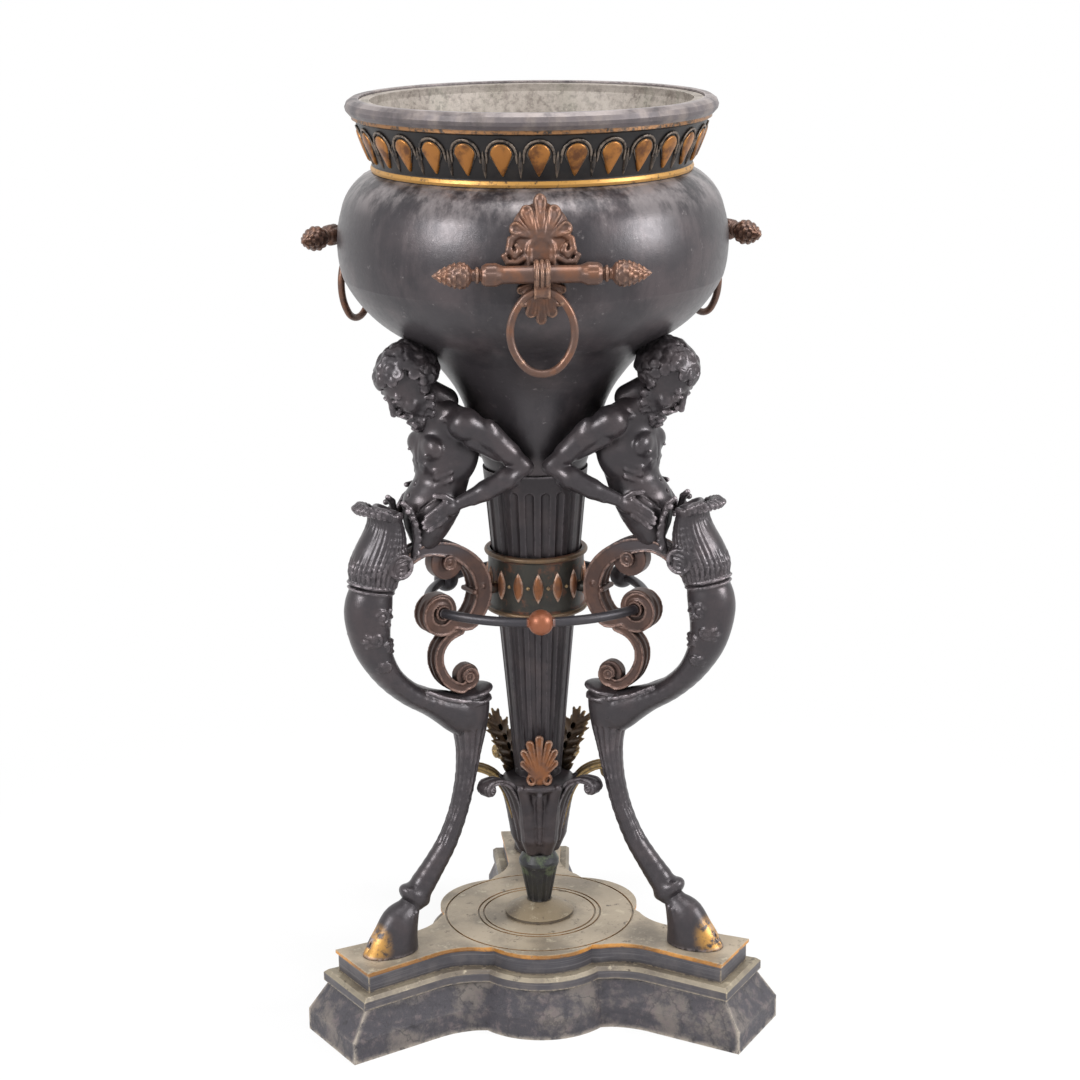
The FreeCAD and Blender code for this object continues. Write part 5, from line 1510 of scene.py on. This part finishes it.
    def husk(self) -> Net:
        """Model the leaf husk whose fine ribs fan out and curl over."""
        clay = Clay((-44.0, 146.0, 508.0), (44.0, 244.0, 632.0), self.fine_voxel)
        rows = (
            (206.0, 528.0, 25.0, 24.0), (205.0, 545.0, 28.5, 27.0), (201.0, 557.0, 29.0, 28.5),
            (196.0, 570.0, 26.0, 28.0), (192.0, 584.0, 21.0, 26.0), (190.5, 597.0, 16.5, 24.0),
            (192.0, 606.0, 15.0, 23.5),
        )
        self.cast(clay, [(out, z, deep - 2.4, wide - 2.4) for out, z, deep, wide in rows], 3.0)
        clay.egg((0.0, 186.0, 622.0), (19.0, 15.0, 16.0), -10.0, 3.0, cut=True)
        ribs = 23
        for index in range(ribs):
            share = -1.0 + 2.0 * index / (ribs - 1)
            angle = math.radians(128.0 * share)
            s, c = math.sin(angle), math.cos(angle)
            lean = max(c, 0.0) ** 0.7
            line = [
                (wide * s * 0.98, out + deep * c * 0.98, z - 6.0 * (1.0 - lean) * (z - 528.0) / 78.0, 2.3)
                for out, z, deep, wide in self.eased(rows, 2)
            ]
            line += [
                (24.5 * s, 193.5 + (16.5 + 4.0 * lean) * c, 605.0 + 9.0 * lean, 2.5),
                (25.0 * s, 195.0 + (19.0 + 7.0 * lean) * c, 607.0 + 11.0 * lean, 2.7),
                (24.5 * s, 196.0 + (21.0 + 10.0 * lean) * c, 604.5 + 10.5 * lean, 2.7),
                (23.5 * s, 195.5 + (20.0 + 9.0 * lean) * c, 601.5 + 9.5 * lean, 2.4),
            ]
            clay.path(line, 1.0)
        clay.egg((0.0, 210.5, 529.0), (27.0, 27.0, 3.8), -12.0, 1.4)
        for _ in clay.both_sides():
            clay.egg((25.0, 189.0, 552.0), (5.0, 13.0, 17.0), -20.0, 1.6)
            clay.curl((29.0, 189.0, 552.0), (1.0, 0.05, 0.0), 12.5, 2.2, 0.8)
            clay.curl((29.5, 189.0, 549.0), (1.0, 0.05, 0.0), 5.2, 1.8, 0.8)
            for rib in range(4):
                z = 546.0 + rib * 4.6
                clay.limb((30.0, 183.0, z), (30.0, 195.0, z - 2.5), 1.3, 1.0, 0.6)
            clay.path(
                [
                    (21.0, 168.0, 560.0, 4.5), (23.0, 165.0, 578.0, 4.5),
                    (22.0, 167.0, 596.0, 4.0), (19.0, 172.0, 612.0, 4.0), (17.0, 178.0, 618.0, 3.2),
                ], 1.0,
            )
            for notch in range(7):
                z = 563.0 + notch * 8.0
                clay.ball((24.5, 163.5 + 0.012 * (z - 578.0) ** 2, z), 3.4, 0.6)
        return clay.skin()

    def strap(
        self, clay: Clay, rows: Sequence[Row], half: float, eyes: Sequence[Row]
    ) -> None:
        """Add a scroll strap with raised edges and recessed sides, and its round eyes.

        Args:
            clay: the clay to add to; it is replaced where the strap runs.
            rows: out, height and half thickness along the strap.
            half: half width along the side axis.
            eyes: out, height and radius of each eye.
        """
        x, y, z = clay.coordinates((slice(None), slice(None), slice(None)))
        flat = np.full((y.shape[1], z.shape[2]), 99.0, dtype=np.float32)
        yy, zz = y[0], z[0]
        path = self.eased(rows, 4)
        for (o0, z0, r0), (o1, z1, r1) in zip(path, path[1:]):
            ro, rz = o1 - o0, z1 - z0
            t = np.clip(((yy - o0) * ro + (zz - z0) * rz) / (ro * ro + rz * rz + 1e-9), 0.0, 1.0)
            gap = np.sqrt((yy - o0 - t * ro) ** 2 + (zz - z0 - t * rz) ** 2) - (r0 + t * (r1 - r0))
            flat = np.minimum(flat, gap)
        away = np.abs(x)
        inner = np.clip((half - 2.6 - away) / 1.2, 0.0, 1.0)
        bead = np.clip(1.0 - (away / 3.0) ** 2, 0.0, 1.0) ** 0.5
        face = flat[None] + 1.7 * inner - 1.9 * bead
        deep = np.clip((-flat[None] - 1.8) / 1.2, 0.0, 1.0)
        strap = np.maximum(face, away - (half - 1.5 * deep))
        for out, height, radius in eyes:
            reach = np.sqrt((yy - out) ** 2 + (zz - height) ** 2)[None]
            rings = 1.4 * np.cos(np.clip(reach / radius, 0.0, 1.0) * math.pi * 2.0)
            strap = np.minimum(strap, np.maximum(reach - radius, away - (half + 1.2 + rings)))
            strap = np.minimum(strap, np.maximum(reach - 2.4 * radius, away - (half - 4.0)))
        clay.values = np.minimum(clay.values, strap.astype(np.float32))

    def c_scroll(self) -> Net:
        """Model the large scroll."""
        clay = Clay((-18.0, 54.0, 448.0), (18.0, 202.0, 576.0), self.fine_voxel, 20.0)
        rows = [
            (190.0, 530.0, 5.5), (178.0, 544.0, 6.5), (164.0, 554.0, 6.8), (147.0, 559.5, 7.0),
            (125.0, 557.5, 8.5),
            (104.5, 549.0, 9.0), (86.5, 534.0, 9.5), (77.0, 515.5, 10.5), (75.5, 497.0, 10.5),
            (81.5, 481.0, 9.8),
            (93.5, 468.5, 9.0),
        ]
        for step in range(15):
            angle = math.radians(-140.0 + step * 34.0)
            wall = max(7.6 - step * 0.42, 2.4)
            reach = 30.0 - step * 1.75 - wall
            rows.append((EYE_OUT + reach * math.cos(angle), EYE_Z + reach * math.sin(angle), wall))
        self.strap(clay, rows, self.scroll_half, [(EYE_OUT, EYE_Z, 8.5), (119.0, 542.0, 8.5)])
        clay.path([(side, 90.0 - 13.5, 508.0, 3.0) for side in (-10.0, 10.0)], 1.5)
        clay.path([(side, 88.0, 503.0, 3.0) for side in (-12.0, 12.0)], 1.5)
        return clay.skin()

    def s_scroll(self) -> Net:
        """Model the small scroll on the knee."""
        clay = Clay((-16.0, 76.0, 380.0), (16.0, 144.0, 470.0), self.fine_voxel, 20.0)
        rows = [
            (104.0, 460.0, 4.5), (119.0, 455.0, 5.0), (130.0, 443.0, 5.4), (132.5, 428.0, 5.6),
            (126.5, 411.0, 6.0),
        ]
        rows += [(116.0, 399.0, 6.0), (104.0, 393.0, 6.0)]
        for step in range(9):
            angle = math.radians(-70.0 - step * 38.0)
            wall = max(5.6 - step * 0.5, 2.2)
            reach = 14.0 - wall * 0.6 - step * 0.9
            rows.append((95.0 + reach * math.cos(angle), 405.0 + reach * math.sin(angle), wall))
        self.strap(clay, rows, 10.0, [(95.0, 405.0, 6.0)])
        return clay.skin()

    def build(self) -> None:
        """Make the pieces of the three legs."""
        parts = (
            ("leg", "leg_casting", self.shank(), self.skin),
            ("hoof", "hoof_with_tuft", self.hoof(), self.hoof_skin),
            ("figure_cup", "leaf_husk", self.husk(), self.skin),
            ("c_scroll", "large_scroll", self.c_scroll(), self.copper),
            ("s_scroll", "small_scroll", self.s_scroll(), self.copper),
        )
        for node, name, (points, faces), material in parts:
            for number, azimuth in enumerate(LEG_AZIMUTHS, 1):
                set_piece(
                    "%s_%d" % (name, number), to_world(points, azimuth), faces, material, Body.STAND,
                    "brown_patina", "%s_%d" % (node, number),
                )

# ------------------------------------------------------------------ handles
@dataclass
class RingHandle:
    """Palmette plate, bar with cone finials and the ribs of the clip; modelled at the front."""

    voxel: float = 0.95
    tip_half: float = 110.0
    bar_radius: float = 9.3
    profile: Callable[[Array], tuple[Array, Array, Array]] | None = None
    skin: bpy.types.Material | None = None
    niche_skin: bpy.types.Material | None = None

    @staticmethod
    def lobe(clay: Clay, foot: tuple[float, float], tip: tuple[float, float], width: float) -> None:
        """Add one hollowed leaf lobe from foot to tip, with a rib down its middle."""
        a = np.array([foot[0], 2.0, foot[1]])
        b = np.array([tip[0], 2.6, tip[1]])
        clay.limb(tuple(a), tuple(b), width * 0.5, width, 1.0)
        up = np.array([0.0, width, 0.0])
        clay.limb(tuple(a * 0.6 + b * 0.4 + up), tuple(b + up), width * 0.4, width * 0.72, 0.8, cut=True)
        rise = np.array([0.0, width * 0.22, 0.0])
        clay.limb(tuple(a + rise), tuple(b + rise * 0.8), 1.2, 1.3, 0.8)

    def palmette(self) -> Net:
        """Model the plate flat: side, rise above the bowl and height."""
        clay = Clay((-50.0, -4.0, 820.0), (50.0, 14.0, 966.0), self.voxel)
        for side, z, width in fanned(((0.0, 949.0, 7.0), (13.5, 939.0, 7.4), (24.5, 925.0, 7.2))):
            self.lobe(clay, (side * 0.3, 917.0), (side, z), width)
        for _ in clay.both_sides():
            clay.path(
                [
                    (13.0, 2.5, 918.0, 3.0), (21.0, 3.0, 920.0, 3.4), (30.0, 3.0, 915.0, 3.6),
                    (32.0, 3.0, 905.0, 3.6), (26.0, 3.2, 899.0, 3.4), (21.5, 3.4, 904.0, 3.0),
                    (24.0, 3.6, 909.5, 2.6),
                ], 0.8,
            )
            clay.path(
                [
                    (17.0, 2.5, 897.0, 3.0), (24.0, 3.0, 893.0, 3.2), (33.0, 3.0, 893.0, 3.2),
                    (37.0, 3.0, 899.0, 2.8), (33.0, 3.4, 902.0, 2.4),
                ], 0.8,
            )
        arch = [(-12.0, 2.6, 886.0, 3.0)]
        for step in range(9):
            angle = math.pi * (1.0 - step / 8.0)
            arch.append((12.0 * math.cos(angle), 2.8, 904.0 + 13.0 * math.sin(angle), 3.0))
        arch.append((12.0, 2.6, 886.0, 3.0))
        clay.path(arch, 0.8)
        clay.egg((0.0, 0.0, 903.0), (33.0, 3.6, 25.0), 0.0, 2.0)
        clay.egg((0.0, 0.0, 925.0), (29.0, 4.6, 25.0), 0.0, 2.0)
        clay.limb((-40.0, 2.0, 883.0), (40.0, 2.0, 883.0), 5.0, 5.0, 2.0)
        hanging = ((0.0, 836.0, 5.8), (10.5, 843.0, 5.8), (17.5, 854.0, 5.4), (20.0, 866.0, 4.8))
        for side, z, width in fanned(hanging):
            self.lobe(clay, (side * 0.3, 874.0), (side, z), width)
        clay.egg((0.0, 0.0, 863.0), (20.0, 4.4, 21.0), 0.0, 2.0)
        return clay.skin()

    def on_bowl(self, points: Array) -> Array:
        """Bend flat points (side, rise, height) on to the bowl."""
        radius, lean_out, lean_up = self.profile(points[:, 2])
        reach = radius + points[:, 1] * lean_out
        angle = points[:, 0] / radius
        return np.stack(
            [reach * np.sin(angle), reach * np.cos(angle), points[:, 2] + points[:, 1] * lean_up], axis=1
        )

    def bar(self) -> Net:
        """Turn the bar with its leaf sleeves, necks and scaly cones."""
        rows, columns = 330, 56
        x = np.linspace(-self.tip_half, self.tip_half, rows)
        away = np.abs(x)
        outline = (
            (0.0, 9.3), (8.6, 9.3), (10.0, 9.0), (38.0, 9.0), (41.0, 9.6), (46.0, 11.3), (56.0, 11.0),
            (60.0, 9.0),
            (61.0, 6.4), (62.0, 6.0), (64.0, 8.6), (66.0, 8.2), (67.0, 5.8), (70.0, 6.0), (74.0, 11.4),
            (80.0, 13.2),
            (88.0, 12.2), (96.0, 9.0), (104.0, 5.0), (108.5, 1.8), (110.0, 0.05),
        )
        base = np.interp(away, *zip(*outline))
        angle = np.linspace(0.0, 2 * math.pi, columns, endpoint=False)
        a, w = np.meshgrid(angle, away, indexing="xy")
        radius = np.repeat(base[:, None], columns, axis=1)
        leaf = np.clip(1.0 - np.abs((w - 50.0) / 11.0) ** 3, 0.0, 1.0)
        radius += leaf * (1.3 * np.abs(np.cos(3.5 * a)) - 0.5)
        cone = np.clip((w - 71.0) / 4.0, 0.0, 1.0) * np.clip((109.0 - w) / 8.0, 0.0, 1.0)
        row = (w - 71.0) / 5.0
        stage = np.floor(row)
        across = (a * 8.0 / (2 * math.pi) + 0.5 * (stage % 2)) % 1.0 - 0.5
        down = row - stage
        scale = np.clip(1.0 - (2.3 * across) ** 2, 0.0, 1.0) * (1.0 - down) ** 0.6
        radius += cone * (2.0 * scale - 0.8)
        side = np.repeat(x[:, None], columns, axis=1)
        points = np.stack(
            [side.ravel(), (BAR_OUT + radius * np.cos(a)).ravel(), (BAR_Z + radius * np.sin(a)).ravel()],
            axis=1,
        )
        return points, grid_faces(rows, columns, True)

    def ribs(self) -> Net:
        """Three round ribs on the clip, each a ring round the bar."""
        clay = Clay((-9.0, BAR_OUT - 18.0, BAR_Z - 18.0), (9.0, BAR_OUT + 18.0, BAR_Z + 18.0), 0.8)
        for x in (-5.2, 0.0, 5.2):
            clay.curl((x, BAR_OUT, BAR_Z), (1.0, 0.0, 0.0), self.bar_radius + 4.0, 2.0, 0.5)
        return clay.surface()

    def niche(self) -> Net:
        """Smooth panel inside the arch, a little proud of the plate."""
        points, faces = lens(10.5, 44.0, 0.7, 12, 0.8)
        points[:, 1] += 2.6
        points[:, 2] += 898.0
        points[:, 2] = np.clip(points[:, 2], 884.0, 916.0)
        return points, faces

    def build(self) -> None:
        """Make the three handles."""
        plate, plate_faces = self.palmette()
        bar, bar_faces = self.bar()
        ribs, rib_faces = self.ribs()
        niche, niche_faces = self.niche()
        parts = (
            ("palmette_plate", self.on_bowl(plate), plate_faces, self.skin, "handle_plate"),
            ("cone_tipped_bar", bar, bar_faces[:, ::-1], self.skin, "handle_bar"),
            ("clip_ribs", ribs, rib_faces, self.skin, ""),
            ("niche_panel", self.on_bowl(niche), niche_faces, self.niche_skin, ""),
        )
        for number, azimuth in enumerate(HANDLE_AZIMUTHS, 1):
            for name, points, faces, material, node in parts:
                replaced = ["%s_%d" % (node, number)] if node else []
                set_piece(
                    "%s_%d" % (name, number), to_world(points, azimuth), faces, material, Body.BOWL,
                    "copper_patina", *replaced,
                )

# ------------------------------------------------------------------ column
@dataclass
class Column:
    """Leafy cup under the shaft, its rolled straps and upright leaves, and the collar's trim."""

    voxel: float = 1.3
    leaves: int = 6
    volute_out: float = 80.0
    volute_top: float = 275.3
    volute_radius: float = 9.6
    strap_half: float = 9.5
    strap_lift: float = 5.0
    leaf_foot: float = 36.0
    bend_radius: float = 44.0
    bend_back: float = 4.0
    trim_out: float = COLLAR_RADIUS - 2.4
    trim_z: float = (COLLAR_Z + COLLAR_TOP) / 2
    skin: bpy.types.Material | None = None
    brass: bpy.types.Material | None = None
    copper: bpy.types.Material | None = None
    leaf_skin: bpy.types.Material | None = None
    leg: Leg | None = None

    def cup(self) -> Net:
        """Model the cup with its long folded leaves."""
        clay = Clay((-54.0, -54.0, 168.0), (54.0, 54.0, 278.0), self.voxel)
        rows = [
            (0.0, 0.0, 176.0, 15.0), (0.0, 0.0, 190.0, 22.5), (0.0, 0.0, 207.0, 26.5),
            (0.0, 0.0, 230.0, 30.0),
            (0.0, 0.0, 246.0, 33.0),
        ]
        clay.path(rows, 4.0)
        clay.egg((0.0, 0.0, 262.0), (42.0, 42.0, 11.0), 0.0, 6.0)
        for s, c in spokes(self.leaves, 0.5):
            rows = (
                (17.0, 180.0, 8.0), (21.0, 196.0, 10.5), (23.0, 216.0, 11.5), (27.5, 236.0, 10.5),
                (35.0, 254.0, 8.0),
                (44.0, 264.0, 4.5),
            )
            line = [(out * s, out * c, z, half) for out, z, half in rows]
            clay.path(line, 1.6)
            rib = [(x + (r - 0.6) * s, y + (r - 0.6) * c, z, 1.6) for x, y, z, r in line]
            clay.path(rib, 1.0)
        for s, c in spokes(self.leaves):
            rows = ((25.0, 192.0, 3.0), (27.5, 214.0, 4.2), (31.0, 236.0, 4.4), (39.0, 256.0, 3.4))
            clay.path([(out * s, out * c, z, half) for out, z, half in rows], 1.4)
        clay.level(CUP_Z + 0.2, True)
        clay.level(COLUMN_Z - 0.2, False)
        return clay.skin()

    def strap(self) -> Net:
        """Model one leaf strap that rolls into a volute."""
        clay = Clay((-14.0, 14.0, 184.0), (14.0, 94.0, 280.0), 1.25, 20.0)
        rows = [
            (22.0, 190.0, 3.6), (26.0, 207.0, 4.0), (31.0, 226.0, 4.2), (38.5, 246.0, 4.0),
            (50.0, 263.0, 3.6),
            (65.0, 271.5, 3.2), (79.0, 272.8, 3.0),
        ]
        middle = self.volute_top - self.volute_radius
        for step in range(1, 9):
            angle = math.radians(90.0 - step * 42.0)
            reach = self.volute_radius - 2.6 - step * 0.55
            rows.append(
                (self.volute_out + reach * math.cos(angle), middle + reach * math.sin(angle), 2.3)
            )
        self.leg.strap(clay, rows, self.strap_half, [(self.volute_out, middle, 3.6)])
        return clay.skin()

    def upright_leaf(self, jagged: bool) -> Net:
        """Model an upright leaf flat, then lean it out and wrap it round the column.

        Args:
            jagged: sharp notched lobes instead of the round ones of a palmette.

        Returns:
            Points and quads in side, out and height.
        """
        clay = Clay((-32.0, -5.0, 258.0), (32.0, 9.0, 342.0), 1.0)
        if jagged:
            clay.path([(0.0, 0.5, 264.0, 6.0), (0.0, 0.5, 300.0, 5.0), (0.0, 1.0, 330.0, 2.0)], 1.0)
            for level, reach in enumerate((15.0, 20.0, 21.0, 18.5, 14.0, 9.0)):
                z = 264.0 + level * 10.5
                for _ in clay.both_sides():
                    clay.limb((0.0, 0.0, z), (reach, 1.5, z + 11.0), 5.6, 2.6, 1.6)
                    clay.limb((reach * 0.8, 1.0, z + 7.0), ((reach + 4.0), 3.0, z + 14.0), 2.6, 1.1, 0.8)
                    clay.limb((reach * 0.5, 0.8, z + 6.0), (reach * 0.82, 2.6, z + 16.5), 2.8, 1.1, 0.8)
                    clay.limb((0.0, 5.4, z), (reach * 0.8, 4.8, z + 9.0), 1.0, 0.7, 0.6, cut=True)
        else:
            lobes = fanned(((0.0, 326.0, 5.0), (11.0, 319.0, 5.2), (19.0, 307.0, 5.2), (21.5, 293.0, 4.6)))
            for side, z, width in lobes:
                foot = side * 0.25
                clay.limb((foot, 1.0, 278.0), (side, 1.4, z), width * 0.5, width, 0.9)
                lift = width * 0.95
                middle = (foot * 0.5 + side * 0.5, 1.0 + lift, (278.0 + z) / 2)
                clay.limb(middle, (side, 1.4 + lift, z), width * 0.4, width * 0.66, 0.6, cut=True)
            clay.egg((0.0, 0.0, 286.0), (17.0, 3.0, 20.0), 0.0, 1.5)
            for _ in clay.both_sides():
                clay.curl((11.0, 2.0, 274.0), (0.0, 1.0, 0.0), 5.2, 2.2, 0.8)
        points, faces = clay.skin()
        rise = np.clip((points[:, 2] - COLUMN_Z) / 64.0, -0.1, 1.2)
        lean = 30.0 if jagged else 11.0
        if not jagged:
            points[:, 0] *= 0.86
        out = self.leaf_foot + lean * rise * np.abs(rise) ** 0.6 + points[:, 1] + self.bend_back
        angle = points[:, 0] / self.bend_radius
        bent = [out * np.sin(angle), out * np.cos(angle) - self.bend_back, points[:, 2]]
        return np.stack(bent, axis=1), faces

    def rim(self, z: float) -> Net:
        """Rolled rim of the collar at a height."""
        clay = Clay((-62.0, -62.0, z - 5.0), (62.0, 62.0, z + 5.0), 1.0)
        clay.curl((0.0, 0.0, z), (0.0, 0.0, 1.0), COLLAR_RADIUS - 0.8, 2.9, 0.5)
        return clay.surface()

    def build(self) -> None:
        """Make the cup, leaves and collar trim."""
        points, faces = self.cup()
        set_piece(
            "folded_leaf_cup", to_world(points, 0.0), faces, self.skin, Body.STAND, "dark_patina", "leaf_cup"
        )
        strap, strap_faces = self.strap()
        for name, azimuths, material in (
            ("rolled_straps_front", (-48.0, 48.0), self.skin),
            ("rolled_straps_back", (90.0, -90.0, 150.0, -150.0), self.brass),
        ):
            points = np.concatenate([to_world(strap, azimuth) for azimuth in azimuths])
            points[:, 2] += self.strap_lift / 1000.0
            faces = np.concatenate([strap_faces + len(strap) * k for k in range(len(azimuths))])
            set_piece(name, points, faces, material, Body.STAND, "dark_patina")
        for number, azimuth in enumerate(HANDLE_AZIMUTHS, 1):
            points, faces = self.upright_leaf(number != 1)
            name = "copper_palmette" if number == 1 else "jagged_leaf_%d" % number
            material = self.copper if number == 1 else self.leaf_skin
            set_piece(
                name, to_world(points, azimuth), faces, material, Body.STAND, "copper_patina",
                "cup_leaf_%d" % number,
            )
        for label, z in (("low", COLLAR_Z + 2.8), ("high", COLLAR_TOP - 2.8)):
            points, faces = self.rim(z)
            set_piece(
                "collar_rim_" + label, to_world(points, 0.0), faces, self.leaf_skin, Body.STAND,
                "copper_patina",
            )
        for name, start, (points, faces), material in (
            ("collar_almonds", 0.0, lens(6.0, 35.0, 3.4, 12, 1.0), self.copper),
            ("collar_dots", 12.0, lens(2.4, 5.0, 2.0, 8, 1.0), self.leaf_skin),
        ):
            points[:, 1] += self.trim_out
            points[:, 2] += self.trim_z
            OrnamentRing(name, 15, start, material, Body.STAND, "copper_patina").build(points, faces)


def bowl_profile(node: bpy.types.Object) -> Callable[[Array], tuple[Array, Array, Array]]:
    """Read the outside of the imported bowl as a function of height.

    Args:
        node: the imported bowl.

    Returns:
        A function that gives radius and the normal's outward and upward parts, for heights in millimetres.
    """
    spots = np.empty(len(node.data.vertices) * 3, dtype=np.float32)
    node.data.vertices.foreach_get("co", spots)
    spots = spots.reshape(-1, 3) * 1000.0
    radius = np.hypot(spots[:, 0], spots[:, 1])
    levels = np.arange(COLUMN_TOP + 60.0, NECK_Z, 2.0)
    reach = []
    for level in levels:
        near = np.abs(spots[:, 2] - level) < 4.5
        reach.append(radius[near].max() if near.any() else np.nan)
    outline = np.array(reach)
    good = ~np.isnan(outline)
    outline = np.interp(levels, levels[good], outline[good])
    outline = np.convolve(np.pad(outline, 2, mode="edge"), np.ones(5) / 5.0, mode="valid")

    def profile(height: Array) -> tuple[Array, Array, Array]:
        here = np.interp(height, levels, outline)
        slope = (np.interp(height + 2.0, levels, outline) - np.interp(height - 2.0, levels, outline)) / 4.0
        size = np.sqrt(1.0 + slope * slope)
        return here, 1.0 / size, -slope / size

    return profile


def main() -> None:
    """Load the frame, build and dress every piece, and note the sizes."""
    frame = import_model()
    nodes = frame["nodes"]
    finishes = (
        LIMB_PATINA, COLUMN_PATINA, SCROLL_PATINA, COPPER_PATINA, COPPER_BRIGHT, BRASS_TINT, ROD_PATINA,
        LEAF_BROWN,
    )
    limb, dark, scroll, copper, bright, brass, rod, leaf_brown = (finish.material() for finish in finishes)
    for name, node in nodes.items():
        if name.startswith("column"):
            dress(node, dark)
        elif name.startswith("tie"):
            dress(node, rod)
        elif name.startswith("handle"):
            dress(node, copper)
    for name, finish in (
        ("collar", COLLAR_FINISH), ("foot_disc", FOOT_FINISH), ("vase_knob", KNOB_FINISH),
        ("stone_plinth", Stone()),
        ("base_plate", PLATE_FINISH), ("base_moulding", MOULDING_FINISH),
    ):
        dress(nodes[name], finish.material())
    BowlTop(nodes=nodes).build()
    leg = Leg(skin=limb, copper=scroll, hoof_skin=HOOF_PATINA.material())
    leg.build()
    RingHandle(profile=bowl_profile(nodes["bowl"]), skin=copper, niche_skin=NICHE_LACQUER.material()).build()
    Column(skin=dark, brass=brass, copper=bright, leaf_skin=leaf_brown, leg=leg).build()
    HalfFigure(skin=limb).build()
    Studio().build()


if __name__ == "__main__":
    logging.basicConfig(level=logging.INFO)
    main()
